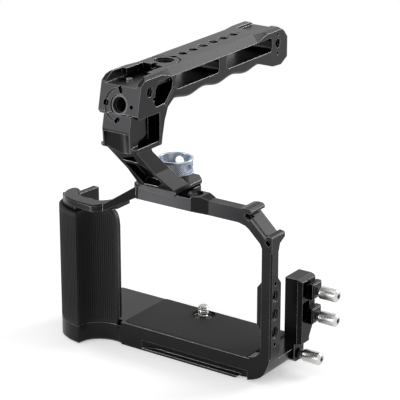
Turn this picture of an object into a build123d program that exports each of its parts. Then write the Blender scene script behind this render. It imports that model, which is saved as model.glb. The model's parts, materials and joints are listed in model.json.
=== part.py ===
from build123d import *
import math
import os

# Camera cage with a bolted-on top handle and a cable clamp, in millimetres.
# Origin: mouth of the tripod socket in the underside of the base.
# +X runs along the base towards the cable clamp, -Y towards the lens, +Z up.

# ---------------------------------------------------------------- clearances
RUN = 0.05            # radial running clearance of a shaft in its hole
SEAT = 0.10           # gap of a pad, cover or washer beside the metal that holds it
CUT = 1.0             # how far a cutter runs past the face it starts from

# -------------------------------------------------------------- thread sizes
TAP_QUARTER_R = 2.60        # wall radius of a 1/4"-20 tapped hole
TAP_THREE_EIGHTHS_R = 3.95  # wall radius of a 3/8"-16 tapped hole
QUARTER_SHANK_R = TAP_QUARTER_R - RUN
QUARTER_CLEAR_R = 3.35
THUMB_SHANK_R = 1.45
THUMB_TAP_R = THUMB_SHANK_R + RUN

# ------------------------------------------------------------- cage: the ring
FRONT_Y = -20.0       # front plane of the upright and of the base
BASE_BACK_Y = 19.0
BASE_T = 13.0
SIDE_X = 62.5         # outer face of the upright
UPRIGHT_T = 6.0
UPRIGHT_DEPTH = 6.2
UPRIGHT_WIDE_DEPTH = 9.0
UPRIGHT_WIDE_TOP = 55.0
BASE_CORNER = ((43.5, 0.0), (52.8, 2.1), (57.8, 5.3), (61.0, 11.6), (62.5, 21.0))  # (x, z)
BAY_CORNER_R = 7.0    # inner lower right corner
BAY_TOP_Z = 85.6      # underside of the top bar
ARM_TOP_Z = 93.4
ARM_DEPTH = 5.6
UPRIGHT_EDGE = 0.9

# lower front groove that clears a quick-release jaw
GROOVE_LOW_Z = 1.3
GROOVE_HIGH_Z = 5.8
GROOVE_DEPTH = 3.4
GROOVE_LEFT_X = -9.0
GROOVE_RIGHT_X = 48.5
GROOVE_NOTCH_X = 41.0

# boss with the side threads
BOSS_X = 53.5
BOSS_LOW_Z = 33.0
BOSS_HIGH_Z = 57.0
BOSS_SET_BACK = 0.8
SIDE_THREAD_TOP_Z = 49.3
SIDE_THREAD_PITCH = 9.95
SIDE_THREADS = 3
SIDE_THREAD_Y = -16.0
SIDE_THREAD_FLOOR_X = BOSS_X + 1.1               # holes that end in the boss
LOW_THREAD_FLOOR_X = SIDE_X - UPRIGHT_T + 0.8    # hole below the boss
SIDE_PIN_R = 1.15
SIDE_PIN_OUT = 6.6

# ------------------------------------------------------- cage: the platform
PLATFORM_TOP_Z = 95.2
PLATFORM_LOW_Z = 87.2
PLATFORM_FRONT_Y = -24.5
PLATFORM_HALF_X = 16.5
PLATFORM_BACK_Y = -13.6
FACET_X = 24.5
PLATFORM_LEFT_X = -20.4
TONGUE_HALF_X = 10.8
TONGUE_BACK_Y = -4.0
TOP_THREAD_X = 15.4
TOP_THREAD_Y = -18.2
TOP_SINK_R = 3.9
TOP_SINK_DEPTH = 1.2

# --------------------------------------------------- cage: the strap corner
STRAP_DEPTH = 12.0
STRAP_FACE_HIGH = (SIDE_X - 16.1, ARM_TOP_Z - 2.0)   # (x, z) of the slanted face's ends
STRAP_FACE_LOW = (SIDE_X - 2.4, ARM_TOP_Z - 14.9)
STRAP_PAD_RISE = 0.5
STRAP_PAD_MARGIN = 3.8
STRAP_RELIEF_DEPTH = 4.0   # along Y, from the front
STRAP_RELIEF_DROP = 1.5

# ------------------------------------------------------- cage: the grip side
GRIP_BAND_Z = 10.4
COVER_TOP_Z = 75.2
COVER_T = 2.0
CORE_T = 2.2
LOOP_LOW_Z = 79.5
LOOP_T = 3.6
LOOP_EDGE = 0.8
LINK_LEFT_X = -33.5
LINK_RIGHT_X = PLATFORM_LEFT_X + 2.0
GRIP_BACK_Y = 6.0
GRIP_END_X = -35.2
CORE_BACK_Y = -21.5   # behind this the core ends level with the cover
GRIP_PALM = ((-71.2, 14.0), (-71.5, -10.0), (-69.2, -24.2), (-62.4, -30.2), (-52.7, -33.0), (-44.0, -34.0))
GRIP_FINGER = ((-52.0, -38.0), (-50.7, -32.0), (-48.9, -25.6), (-45.4, -22.2), (-33.0, -20.0))
GRIP_RIDGE_R = 1.2
GRIP_FOOT_EDGE = 1.0

# ------------------------------------------------------------------ base kit
BASE_PAD_T = 1.2
SIDE_PAD_T = 0.8
SOCKET_DEPTH = 8.0
CAMERA_SCREW_Y = 10.8
CAMERA_SCREW_HEAD_R = 6.3
CAMERA_SCREW_HEAD_T = 3.0
CAMERA_SCREW_REACH = 5.5
CAMERA_SCREW_NECK_R = 2.0
CAMERA_SCREW_NECK_TOP_Z = BASE_T + 0.9
KEY_X = 28.0
KEY_LENGTH = 40.0
KEY_WIDTH = 9.0
KEY_T = 2.2
KEY_Y = 8.0
MAGNET_R = 2.0
MAGNET_T = 1.6

# -------------------------------------------------------------------- handle
HANDLE_HALF_X = 11.9
HANDLE_TOP_Z = 163.5
BLOCK_FRONT_TOP = (-58.9, HANDLE_TOP_Z - 3.8)    # (y, z) of the slanted front face's ends
BLOCK_FRONT_LOW = (-62.4, HANDLE_TOP_Z - 19.6)
BLOCK_TOP_Y = -53.6
BLOCK_CHAMFER = 1.5
GRIP_CHAMFER_X = 3.0
GRIP_CHAMFER_Z = 4.0
GRIP_UNDER_Z = HANDLE_TOP_Z - 17.2
GRIP_WAVE = 0.9
GRIP_WAVE_PITCH = 25.5
GRIP_WAVE_LOW_Y = -18.0
REAR_Y = 72.1
REAR_LOW_Z = HANDLE_TOP_Z - 20.7
REAR_BLOCK_Y = 58.0
WAVE_BACK_Y = 47.3
WAVE_FRONT_Y = -33.7
GRIP_UNDER_R = 2.2
GRIP_BEVEL_Y = (-41.8, -33.5, 43.0, 52.0)   # narrow until, broad from, broad until, narrow from
WING_FRONT_Y = -60.4  # lower edge of the block's sides
WING_BACK_Y = -37.5
WING_LOW_Z = HANDLE_TOP_Z - 19.8
POCKET_DEPTH = 2.0
POCKET_DEEP = 8.5
SHOULDER_Z = HANDLE_TOP_Z - 34.6
SHOULDER_T = 2.4
SHOULDER_CORNER = 1.6
SCOOP_R = 7.8
SCOOP_Y = -65.4
SCOOP_HIGH_Z = HANDLE_TOP_Z - 27.4
SCOOP_LOW_Z = SHOULDER_Z - 7.4
SCOOP_LEAN = 1.4               # how far the scoop's axis moves back on its way down
STRUT_POCKET_DEPTH = 4.0
STRUT_POCKET_HALF_X = 7.0
STRUT_WAIST_X = 8.75
STRUT_FLARE_Z = SHOULDER_Z - 17.9   # below this the sides widen towards the foot
TOP_HOLE_DEPTH = 5.0
LOCATING_RING_DEPTH = 0.8
LOCATING_PIN_R = 1.7
LOCATING_PIN_DEPTH = 2.5
INSERT_BORE_DEPTH = 9.0
INSERT_SET_BACK = 0.7
TROUGH_HALF_X = 6.5
TROUGH_FRONT_Y = 50.0
TROUGH_DEPTH = 1.5
SIDE_HOLES = ((-51.8, HANDLE_TOP_Z - 7.7), (62.7, HANDLE_TOP_Z - 8.3))   # (y, z)
SIDE_HOLE_DEPTH = 7.0
SIDE_HOLE_PIN_R = 0.9
SIDE_PINS = ((-48.6, HANDLE_TOP_Z - 12.1), (62.7, HANDLE_TOP_Z - 13.8), (62.7, HANDLE_TOP_Z - 3.5))
WINDOW_LOW_Z = HANDLE_TOP_Z - 11.7
WINDOW_HIGH_Z = HANDLE_TOP_Z - 4.2
RAIL_T = HANDLE_TOP_Z - WINDOW_HIGH_Z
WINDOWS_Y = ((-30.4, 7.8), (14.2, 57.2))
WINDOW_CORNER_R = 2.2
TOP_HOLE_FIRST_Y = -8.0
TOP_HOLE_PITCH = 9.15
TOP_HOLES = 6
TOP_HOLE_PIN_R = 0.9
TOP_HOLE_PIN_OUT = 4.9
LOCATING_HOLE_Y = -23.5
LOCATING_RING_R = 8.0
LOCATING_RING_W = 1.3
LOCATING_BOSS_R = 5.15
FRONT_HOLE_Z = HANDLE_TOP_Z - 13.9
NECK_HALF_X = 8.2
NECK_RIM_FRONT_Y = -43.9
NECK_RECESS = 3.6          # how deep the recess beside the rim goes
NECK_RECESS_FRONT = 0.8    # and how deep it goes beside the scoop
NECK_RECESS_STEP_Y = -56.0
FOOT_T = 3.1
STRUT_HALF_X = 11.25
STRUT_FRONT = ((-62.7, SHOULDER_Z), (-58.9, SHOULDER_Z - 2.9), (-30.0, PLATFORM_TOP_Z + 2.7))   # (y, z)
STRUT_BACK = ((-45.6, SHOULDER_Z - 5.5), (-17.6, PLATFORM_TOP_Z + FOOT_T))
FOOT_FRONT_Y = -30.0
FOOT_BACK_Y = -1.2
FOOT_CORNER = 5.5

# cold shoe in the top of the block
SHOE_FLOOR_Z = HANDLE_TOP_Z - 4.8
SHOE_HALF_X = 9.35
SHOE_SLOT_T = 2.2
SHOE_MOUTH_HALF_X = 6.4
SHOE_LIP_FRONT_Y = -46.0
SHOE_BACK_Y = -32.4
SHOE_SCREW = (-3.2, -48.4)
SHOE_SCREW_R = 1.0
SHOE_SCREW_LENGTH = 4.0

# ----------------------------------------------------------------- lock knob
KNOB_Y = -14.3
KNOB_R = 9.4
KNOB_LOW_Z = 101.4
KNOB_HEIGHT = 8.8
KNOB_WALL = 1.25
KNOB_FLOOR = 2.2
KNOB_CHAMFER = 1.5
KNOB_HOLE_R = 2.3
KNOB_HOLE_FIRST_DEG = -10.0
KNOB_HOLE_Z = 106.0
KNOB_RELIEF_R = 10.3
COLLAR_R = 6.5
COLLAR_SPIGOT_R = 3.3
LOCK_HEX_R = 2.4
LOCK_HEAD_R = 4.8
LOCK_HEAD_T = 2.4
LOCK_ENGAGEMENT = 6.5
FOOT_PIN_R = 1.5
FOOT_PIN_X = 7.0
FOOT_PIN_Y = -20.0
FOOT_PIN_LENGTH = 4.6

# --------------------------------------------------------------- cable clamp
CLAMP_X = 56.2
CLAMP_T = 9.4
CLAMP_FRONT_Y = 3.0
CLAMP_DEPTH = 14.2
CLAMP_LOW_Z = 15.6
CLAMP_HIGH_Z = 51.8
CLAMP_TAPER_Z = 26.5
CLAMP_TAPER_Y = 5.0
CLAMP_EDGE = 1.9
CLAMP_FOOT_LOW_Z = 5.4
CLAMP_FOOT_X = 62.4
SLOT_FRONT_WALL = 2.2
SLOT_WIDTH = 6.9
SLOTS_Z = ((41.8, 49.3), (28.4, 38.4))
JAW_T = 3.4
JAW_FRONT_Y = 9.8
JAW_DEPTH = 8.4
JAW_HEIGHT = 8.6
JAW_RISE = 0.5        # centre of the jaw plate above its screw
JAW_SCREWS_Z = (43.2, 29.6)
JAW_SCREW_Y = 13.9
JAW_NOSE = (9.9, 11.7)       # y range at the plate
JAW_NOSE_Z = (-0.6, 3.8)     # z range about the screw
JAW_NOSE_LENGTH = 7.0
JAW_NOSE_TAPER = 0.8
JAW_SCREW_DEPTH = 8.4
JAW_SCREW_REACH = 10.5
CLIP_R = 2.6
CLIP_T = 0.6
THUMB_R = 3.4
THUMB_LENGTH = 11.0
THUMB_EDGE = 1.0
THUMB_NECK_R = 2.2
THUMB_NECK_T = 1.4
THUMB_SOCKET_R = 1.45
THUMB_SOCKET_DEPTH = 2.5
MOUNT_SCREW_Y = 7.9
MOUNT_SCREW_Z = 8.9
MOUNT_WASHER_T = 1.0
MOUNT_WASHER_R = 2.9
MOUNT_DEPTH = 7.0
MOUNT_SCREW_REACH = 13.0
CLAMP_PIN_R = 1.0
CLAMP_PIN_LENGTH = 5.0
CLAMP_PIN_STEP = 4.6


# ------------------------------------------------------------------- helpers
def block(x0, x1, y0, y1, z0, z1):
    """Box between two corners."""
    size = Box(x1 - x0, y1 - y0, z1 - z0)
    return Pos((x0 + x1) / 2, (y0 + y1) / 2, (z0 + z1) / 2) * size


def prism_y(points, y0, y1):
    """Extrude an outline of (x, z) points from y0 to y1."""
    face = make_face(Polyline(*[(x, y0, z) for x, z in points], close=True))
    return extrude(face, y1 - y0, dir=(0, 1, 0))


def prism_x(points, x0, x1):
    """Extrude an outline of (y, z) points from x0 to x1."""
    face = make_face(Polyline(*[(x0, y, z) for y, z in points], close=True))
    return extrude(face, x1 - x0, dir=(1, 0, 0))


def prism_z(points, z0, z1):
    """Extrude an outline of (x, y) points from z0 to z1."""
    face = make_face(Polyline(*[(x, y, z0) for x, y in points], close=True))
    return extrude(face, z1 - z0, dir=(0, 0, 1))


def rod(centre, radius, length, axis="z"):
    """Cylinder that starts at centre and runs along +axis for length."""
    turn = {"z": Rot(0, 0, 0), "x": Rot(0, 90, 0), "y": Rot(-90, 0, 0)}[axis]
    along = Cylinder(radius, length, align=(Align.CENTER, Align.CENTER, Align.MIN))
    return Pos(*centre) * turn * along


def both_sides(piece):
    """A piece and its mirror image across the plane x = 0."""
    return piece + mirror(piece, about=Plane.YZ)


# ---------------------------------------------------------------- cage frame
def inset_curve(curve, inset):
    """Spline through nine points of a curve moved to its left by inset."""
    points = []
    for step in range(9):
        heading = curve % (step / 8)
        points.append(curve @ (step / 8) + Vector(-heading.Y, heading.X, 0) * inset)
    return Spline(*points)


def grip_outline(inset):
    """Closed plan of the hand grip, moved inwards by inset, at z = 0."""
    palm = inset_curve(Spline(*GRIP_PALM), inset)
    finger = inset_curve(Spline(*GRIP_FINGER), inset)
    back, right = GRIP_PALM[0][1], -20.0
    palm_side = make_face(palm + Polyline(palm @ 1, (right, (palm @ 1).Y), (right, back), palm @ 0))
    finger_side = make_face(finger + Polyline(finger @ 1, (right, (finger @ 1).Y), (right, back), (-90, back),
                                              (-90, GRIP_FINGER[0][1]), finger @ 0))
    return palm_side & finger_side


def grip_shell(outer, inner, z0, z1):
    """Wall that follows the grip outline between two insets and two heights."""
    ring = grip_outline(outer) - grip_outline(inner)
    wall = Pos(0, 0, z0) * extrude(ring, z1 - z0, dir=(0, 0, 1))
    wall = wall & block(-90, GRIP_END_X, -50, GRIP_BACK_Y, z0, z1)
    return fillet(ridge_edge(wall), GRIP_RIDGE_R)


def ridge_edge(wall):
    """Upright edge at the front tip of the grip."""
    return wall.edges().filter_by(Axis.Z).sort_by(Axis.Y)[0]


def base_plate():
    """Base with its foot under the grip and the seat of the cable clamp."""
    foot = extrude(grip_outline(0), GRIP_BAND_Z, dir=(0, 0, 1))
    foot = foot & block(-90, GRIP_END_X + 6, -50, 14, 0, GRIP_BAND_Z)
    foot = fillet(ridge_edge(foot), GRIP_RIDGE_R)
    foot = chamfer(foot.faces().sort_by(Axis.Z)[0].edges(), GRIP_FOOT_EDGE)
    deck = extrude(grip_outline(COVER_T + SEAT), BASE_T, dir=(0, 0, 1))
    deck = deck & block(-90, -24, -50, 14, 0, BASE_T)
    slab = prism_z([(GRIP_END_X + 3, FRONT_Y), (SIDE_X, FRONT_Y), (SIDE_X, BASE_BACK_Y), (-60.0, BASE_BACK_Y),
                    (-67.0, 12.0), (-67.0, -8.0), (GRIP_END_X + 3, -16.0)], 0, BASE_T)
    plate = foot + deck + slab - base_corner()
    plate -= block(CLAMP_X - SEAT, SIDE_X + CUT, CLAMP_FRONT_Y - SEAT, BASE_BACK_Y + CUT, -CUT, BASE_T + CUT)
    groove = block(GROOVE_LEFT_X, GROOVE_RIGHT_X, FRONT_Y - CUT, FRONT_Y + GROOVE_DEPTH,
                   GROOVE_LOW_Z, GROOVE_HIGH_Z)
    run_out = rod((GROOVE_LEFT_X, FRONT_Y - 12, GROOVE_LOW_Z), 12 + GROOVE_DEPTH,
                  GROOVE_HIGH_Z - GROOVE_LOW_Z)
    notch = prism_y([(GROOVE_NOTCH_X, -CUT), (GROOVE_NOTCH_X, 0), (GROOVE_NOTCH_X + 2.5, GROOVE_LOW_Z + 0.5),
                     (GROOVE_RIGHT_X, GROOVE_LOW_Z + 0.5), (GROOVE_RIGHT_X, -CUT)],
                    FRONT_Y - CUT, FRONT_Y + GROOVE_DEPTH)
    plate -= groove + (run_out & block(-60, GROOVE_LEFT_X, FRONT_Y - CUT, 0, 0, BASE_T)) + notch
    return plate


def base_corner():
    """Cutter that rounds the lower right corner of the base."""
    points = [(x, -60.0, z) for x, z in BASE_CORNER]
    curve = Spline(*points, tangents=((1, 0, 0.08), (0, 0, 1)))
    low, high = points[0], points[-1]
    outside = Polyline(high, (SIDE_X + 5, -60.0, high[2]), (SIDE_X + 5, -60.0, -5.0),
                       (low[0], -60.0, -5.0), low)
    return extrude(make_face(curve + outside), 120, dir=(0, 1, 0))


def ring():
    """Upright, top bar and strap corner, seen from the front as one outline."""
    low = BASE_T + BASE_PAD_T
    inner_x = SIDE_X - UPRIGHT_T
    back = FRONT_Y + UPRIGHT_DEPTH
    wide = FRONT_Y + UPRIGHT_WIDE_DEPTH
    foot_z = BASE_CORNER[-1][1]
    upright = prism_x([(FRONT_Y, BASE_T), (FRONT_Y, 80.0), (back, 80.0), (back, UPRIGHT_WIDE_TOP + 3.5),
                       (wide, UPRIGHT_WIDE_TOP), (wide, BASE_T)], inner_x, SIDE_X)
    upright += block(inner_x, SIDE_X, FRONT_Y, wide, BASE_T - 4, foot_z)
    upright -= prism_z([(SIDE_X - UPRIGHT_EDGE, FRONT_Y), (SIDE_X, FRONT_Y + UPRIGHT_EDGE),
                        (SIDE_X + CUT, FRONT_Y + UPRIGHT_EDGE), (SIDE_X + CUT, FRONT_Y - CUT),
                        (SIDE_X - UPRIGHT_EDGE, FRONT_Y - CUT)], foot_z - 6, 80.0 + CUT)
    web = block(inner_x - BAY_CORNER_R, inner_x + CUT, FRONT_Y, FRONT_Y + UPRIGHT_DEPTH,
                BASE_T - CUT, low + BAY_CORNER_R)
    web -= rod((inner_x - BAY_CORNER_R, FRONT_Y - CUT, low + BAY_CORNER_R), BAY_CORNER_R,
               UPRIGHT_DEPTH + 2 * CUT, "y")
    boss = prism_y([(inner_x + CUT, BOSS_LOW_Z - 4), (inner_x, BOSS_LOW_Z - 4), (BOSS_X, BOSS_LOW_Z),
                    (BOSS_X, BOSS_HIGH_Z - 4), (inner_x, BOSS_HIGH_Z), (inner_x + CUT, BOSS_HIGH_Z)],
                   FRONT_Y + BOSS_SET_BACK, FRONT_Y + UPRIGHT_WIDE_DEPTH)
    (hx, hz), (lx, lz) = STRAP_FACE_HIGH, STRAP_FACE_LOW
    arm = prism_y([(FACET_X - 1, BAY_TOP_Z), (42.4, BAY_TOP_Z), (46.5, 84.6), (54.2, 79.6), (inner_x, 74.5),
                   (SIDE_X, 74.5), (SIDE_X, lz), (lx, lz), (hx, hz), (hx, ARM_TOP_Z),
                   (FACET_X - 1, ARM_TOP_Z)], FRONT_Y, FRONT_Y + ARM_DEPTH)
    return upright + web + boss + arm - base_corner()


def strap_length():
    """Length of the slanted face."""
    (hx, hz), (lx, lz) = STRAP_FACE_HIGH, STRAP_FACE_LOW
    return math.hypot(lx - hx, lz - hz)


def strap_point(along, out):
    """(x, z) at a distance along the slanted face from its high end, and out of the face."""
    (hx, hz), (lx, lz) = STRAP_FACE_HIGH, STRAP_FACE_LOW
    ux, uz = (lx - hx) / strap_length(), (lz - hz) / strap_length()
    return (hx + ux * along - uz * out, hz + uz * along + ux * out)


def strap_bar(along0, along1, out0, out1, y0, y1):
    """Bar that lies square to the slanted face."""
    corners = ((along0, out0), (along1, out0), (along1, out1), (along0, out1))
    return prism_y([strap_point(along, out) for along, out in corners], y0, y1)


def strap_corner():
    """Slanted strap plate with a lug at each end, 12 mm deep."""
    (hx, hz), (lx, lz) = STRAP_FACE_HIGH, STRAP_FACE_LOW
    length = strap_length()
    back = FRONT_Y + STRAP_DEPTH
    plate = strap_bar(0, length, -4.4, 0, FRONT_Y, back)
    high_lug = prism_y([(hx - 3.0, hz + 0.2), (hx - 3.0, hz + 2.0), (hx - 0.4, hz + 2.5), (hx + 2.5, hz + 2.4),
                        (hx + 3.7, hz + 1.3), (hx + 3.6, hz), (hx + 0.5, hz - 0.5), (hx - 1.2, hz - 1.8)],
                       FRONT_Y, back + 0.5)
    low_lug = prism_y([(lx - 2.1, lz + 0.5), (lx - 0.7, lz + 3.5), (SIDE_X - 0.5, lz + 3.1), (SIDE_X, lz + 2.5),
                       (SIDE_X, lz - 5.5), (lx - 1.5, lz - 5.5), (lx - 3.2, lz - 2.5)], FRONT_Y, back)
    low_lug = low_lug & prism_x([(FRONT_Y, lz - 8.5), (back - 5.6, lz - 8.5), (back - 5.4, lz - 5.3),
                                 (back - 4.5, lz - 1.9), (back, lz + 0.4), (back, lz + 4.5),
                                 (FRONT_Y, lz + 4.5)], lx - 10, SIDE_X + CUT)
    x, z = strap_point(length / 2, 0)
    pad_plane = Plane(origin=(x, (FRONT_Y + back) / 2 + 0.4, z), x_dir=(lx - hx, 0, lz - hz),
                      z_dir=(hz - lz, 0, lx - hx))
    outline = RectangleRounded(length - 5.6, STRAP_DEPTH - STRAP_PAD_MARGIN, 1.8)
    return plate + high_lug + low_lug + extrude(pad_plane * outline, STRAP_PAD_RISE)


def strap_reliefs():
    """Small pits in the front, at both ends of the slanted face."""
    length = strap_length()
    deep = FRONT_Y + STRAP_RELIEF_DEPTH
    high = strap_bar(0.5, 4.1, -STRAP_RELIEF_DROP, 1.0, FRONT_Y - CUT, deep)
    low = strap_bar(length - 1.2, length + 1.8, -STRAP_RELIEF_DROP, 0.9, FRONT_Y - CUT, deep)
    return high + low


def platform():
    """Raised seat of the handle, with slanted ends and a tongue under the foot."""
    slope = (FRONT_Y - PLATFORM_FRONT_Y) / (FACET_X - PLATFORM_HALF_X)
    left_y = PLATFORM_FRONT_Y + slope * (-PLATFORM_HALF_X - PLATFORM_LEFT_X)
    plan = [(PLATFORM_LEFT_X, left_y), (-PLATFORM_HALF_X, PLATFORM_FRONT_Y),
            (PLATFORM_HALF_X, PLATFORM_FRONT_Y), (FACET_X, FRONT_Y),
            (FACET_X, PLATFORM_BACK_Y), (PLATFORM_LEFT_X, PLATFORM_BACK_Y)]
    seat = prism_z(plan, BAY_TOP_Z, PLATFORM_TOP_Z)
    seat -= prism_y([(-FACET_X - CUT, BAY_TOP_Z - CUT), (-FACET_X - CUT, BAY_TOP_Z), (-FACET_X, BAY_TOP_Z),
                     (-PLATFORM_HALF_X, PLATFORM_LOW_Z), (PLATFORM_HALF_X, PLATFORM_LOW_Z),
                     (FACET_X, BAY_TOP_Z), (FACET_X + CUT, BAY_TOP_Z), (FACET_X + CUT, BAY_TOP_Z - CUT)],
                    PLATFORM_FRONT_Y - CUT, PLATFORM_BACK_Y + CUT)
    seat -= prism_y([(FACET_X - 3.6, PLATFORM_TOP_Z + CUT), (FACET_X - 3.6, PLATFORM_TOP_Z),
                     (FACET_X, ARM_TOP_Z), (FACET_X + CUT, ARM_TOP_Z), (FACET_X + CUT, PLATFORM_TOP_Z + CUT)],
                    PLATFORM_FRONT_Y - CUT, PLATFORM_BACK_Y + CUT)
    edge = Plane(origin=(0, PLATFORM_FRONT_Y, PLATFORM_TOP_Z), x_dir=(0, 1, 0), z_dir=(1, 0, 0))
    bevel = edge * make_face(Polyline((-CUT, -1.2 - CUT), (1.2 + CUT, CUT), (-CUT, CUT), close=True))
    seat -= Pos(-PLATFORM_HALF_X, 0, 0) * extrude(bevel, 2 * PLATFORM_HALF_X, dir=(1, 0, 0))
    tongue = block(-TONGUE_HALF_X, TONGUE_HALF_X, PLATFORM_BACK_Y - CUT, TONGUE_BACK_Y,
                   PLATFORM_LOW_Z, PLATFORM_TOP_Z)
    tongue = chamfer(tongue.faces().sort_by(Axis.Y)[-1].edges().filter_by(Axis.Z), 3.0)
    seat += tongue
    seat -= rod((0, KNOB_Y, BAY_TOP_Z - CUT), TAP_QUARTER_R, PLATFORM_TOP_Z)
    for side in (-1, 1):
        x = side * TOP_THREAD_X
        seat -= rod((x, TOP_THREAD_Y, BAY_TOP_Z - CUT), TAP_QUARTER_R, PLATFORM_TOP_Z)
        sink = Cone(TAP_QUARTER_R, TOP_SINK_R, TOP_SINK_DEPTH, align=(Align.CENTER, Align.CENTER, Align.MAX))
        seat -= Pos(x, TOP_THREAD_Y, PLATFORM_TOP_Z) * sink
        seat -= rod((side * FOOT_PIN_X, FOOT_PIN_Y, PLATFORM_TOP_Z - FOOT_PIN_LENGTH / 2 - 0.3),
                    FOOT_PIN_R + RUN, FOOT_PIN_LENGTH)
    return seat


def grip_loop():
    """Flat hook round the top of the camera's grip and the link to the platform."""
    outer = Spline((-63.4, -21.5), (-62.3, -28.2), (-56.6, -33.4), (-46.5, -36.0), (-38.6, -36.6))
    nose = ThreePointArc(outer @ 1, (-35.9, -35.6), (-34.6, -33.2))
    right = Polyline(nose @ 1, (-30.4, -26.6), (-24.0, -23.0), (-24.0, -15.0), (-32.6, -15.0))
    inner = Spline((-32.6, -15.0), (-35.4, -23.2), (-39.2, -27.4), (-46.5, -28.0), (-53.6, -26.6),
                   (-57.6, -22.2))
    end = ThreePointArc(inner @ 1, (-60.6, -18.8), outer @ 0)
    face = make_face(outer + nose + right + inner + end)
    plate = Pos(0, 0, LOOP_LOW_Z) * extrude(face, LOOP_T, dir=(0, 0, 1))
    plate = chamfer(plate.faces().sort_by(Axis.Z)[-1].edges(), LOOP_EDGE)
    plate = plate & block(-90, LINK_LEFT_X + 4.5, -60, 30, LOOP_LOW_Z, LOOP_LOW_Z + LOOP_T)
    top, front, back = LOOP_LOW_Z + LOOP_T, PLATFORM_FRONT_Y + 1.6, PLATFORM_BACK_Y - 0.5
    low_end = [(-32.6, LOOP_LOW_Z), (-18.5, LOOP_LOW_Z), (-18.5, top), (-32.6, top)]
    high_end = [(front, PLATFORM_LOW_Z + 0.1), (back, PLATFORM_LOW_Z + 0.1), (back, PLATFORM_TOP_Z - 0.5),
                (front, PLATFORM_TOP_Z - 1.6)]
    ends = [make_face(Polyline(*[(x, y, z) for y, z in outline], close=True))
            for x, outline in ((LINK_LEFT_X, low_end), (LINK_RIGHT_X, high_end))]
    return plate + loft(ends, ruled=True)


def cage_frame():
    """One-piece machined frame."""
    core = grip_shell(COVER_T + SEAT, COVER_T + SEAT + CORE_T, BASE_T - CUT, LOOP_LOW_Z + 0.5)
    core -= block(-90, GRIP_END_X + CUT, CORE_BACK_Y, GRIP_BACK_Y + CUT, COVER_TOP_Z, LOOP_LOW_Z + CUT)
    core -= Pos(0, 0, -0.6) * cover_corner()
    frame = base_plate() + ring() + platform() + strap_corner() + grip_loop() + core
    frame -= strap_reliefs()
    floors = [SIDE_THREAD_FLOOR_X] * (SIDE_THREADS - 1) + [LOW_THREAD_FLOOR_X]
    for step, floor_x in enumerate(floors):
        z = SIDE_THREAD_TOP_Z - step * SIDE_THREAD_PITCH
        frame -= rod((floor_x, SIDE_THREAD_Y, z), TAP_QUARTER_R, SIDE_X - floor_x + CUT, "x")
        sink = Rot(0, 90, 0) * Cone(TAP_QUARTER_R, TAP_QUARTER_R + 0.6, 0.6,
                                    align=(Align.CENTER, Align.CENTER, Align.MAX))
        frame -= Pos(SIDE_X, SIDE_THREAD_Y, z) * sink
    low_thread_z = SIDE_THREAD_TOP_Z - (SIDE_THREADS - 1) * SIDE_THREAD_PITCH
    for z in (SIDE_THREAD_TOP_Z + SIDE_PIN_OUT, low_thread_z - SIDE_PIN_OUT):
        frame -= rod((SIDE_X - 3.0, SIDE_THREAD_Y, z), SIDE_PIN_R, 3.0 + CUT, "x")
    frame -= rod((0, 0, -CUT), TAP_QUARTER_R, SOCKET_DEPTH + CUT)
    frame -= rod((0, CAMERA_SCREW_Y, -CUT), QUARTER_CLEAR_R, BASE_T + 2 * CUT)
    frame -= rod((0, CAMERA_SCREW_Y, -CUT), CAMERA_SCREW_HEAD_R + 0.3, CAMERA_SCREW_HEAD_T + 0.4 + CUT)
    frame -= rod((0, CAMERA_SCREW_Y, BASE_T - 1.6), QUARTER_CLEAR_R + 2.2, 1.6 + CUT)
    frame -= key_pocket()
    frame -= rod((CLAMP_X - SEAT - MOUNT_DEPTH, MOUNT_SCREW_Y, MOUNT_SCREW_Z), THUMB_TAP_R,
                 MOUNT_DEPTH + CUT, "x")
    for y in clamp_pin_ys():
        frame -= rod((CLAMP_X - SEAT - CLAMP_PIN_LENGTH / 2 - 0.4, y, MOUNT_SCREW_Z),
                     CLAMP_PIN_R + RUN, CLAMP_PIN_LENGTH, "x")
    return frame


def key_pocket():
    """Room for the flat key and its two magnets in the underside of the base."""
    half = KEY_WIDTH / 2 + 0.4
    room = block(KEY_X - KEY_LENGTH / 2 - 0.4, KEY_X + KEY_LENGTH / 2 + 0.4, KEY_Y - half, KEY_Y + half,
                 -CUT, KEY_T + 0.3)
    room += rod((KEY_X, KEY_Y - half, -CUT), 6.0, KEY_T + 0.3 + CUT)
    for x in magnet_xs():
        room += rod((x, KEY_Y, -CUT), MAGNET_R + RUN, KEY_T + 0.4 + MAGNET_T + CUT)
    return room


def magnet_xs():
    """X of each magnet over the key."""
    return (KEY_X - KEY_LENGTH / 3, KEY_X + KEY_LENGTH / 3)


def clamp_pin_ys():
    """Y of each locating pin between base and clamp."""
    return (MOUNT_SCREW_Y - CLAMP_PIN_STEP + 1.4, MOUNT_SCREW_Y + CLAMP_PIN_STEP)


def grip_cover():
    """Rubber cover round the grip, from the metal band up to its rounded top."""
    return grip_shell(0, COVER_T, GRIP_BAND_Z + SEAT, COVER_TOP_Z) - cover_corner()


def cover_corner():
    """Cutter that rounds the upper right corner of the cover."""
    x, z = GRIP_END_X, COVER_TOP_Z
    high = LOOP_LOW_Z - SEAT
    return prism_y([(x - 3.4, z), (x - 1.7, z - 1.6), (x - 0.6, z - 4.2), (x, z - 8.5), (x + CUT, z - 8.5),
                    (x + CUT, high), (x - 3.4, high)], FRONT_Y - 4, FRONT_Y + 6)


def base_pad():
    """Soft pad between the base and the camera."""
    right = SIDE_X - UPRIGHT_T - BAY_CORNER_R - 0.5
    pad = block(-30.0, right, FRONT_Y + 0.2, BASE_BACK_Y - 1.5, BASE_T, BASE_T + BASE_PAD_T)
    pad = fillet(pad.edges().filter_by(Axis.Z), 1.5)
    return pad - rod((0, CAMERA_SCREW_Y, BASE_T - CUT), QUARTER_CLEAR_R + 3.0, 4.0)


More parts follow.
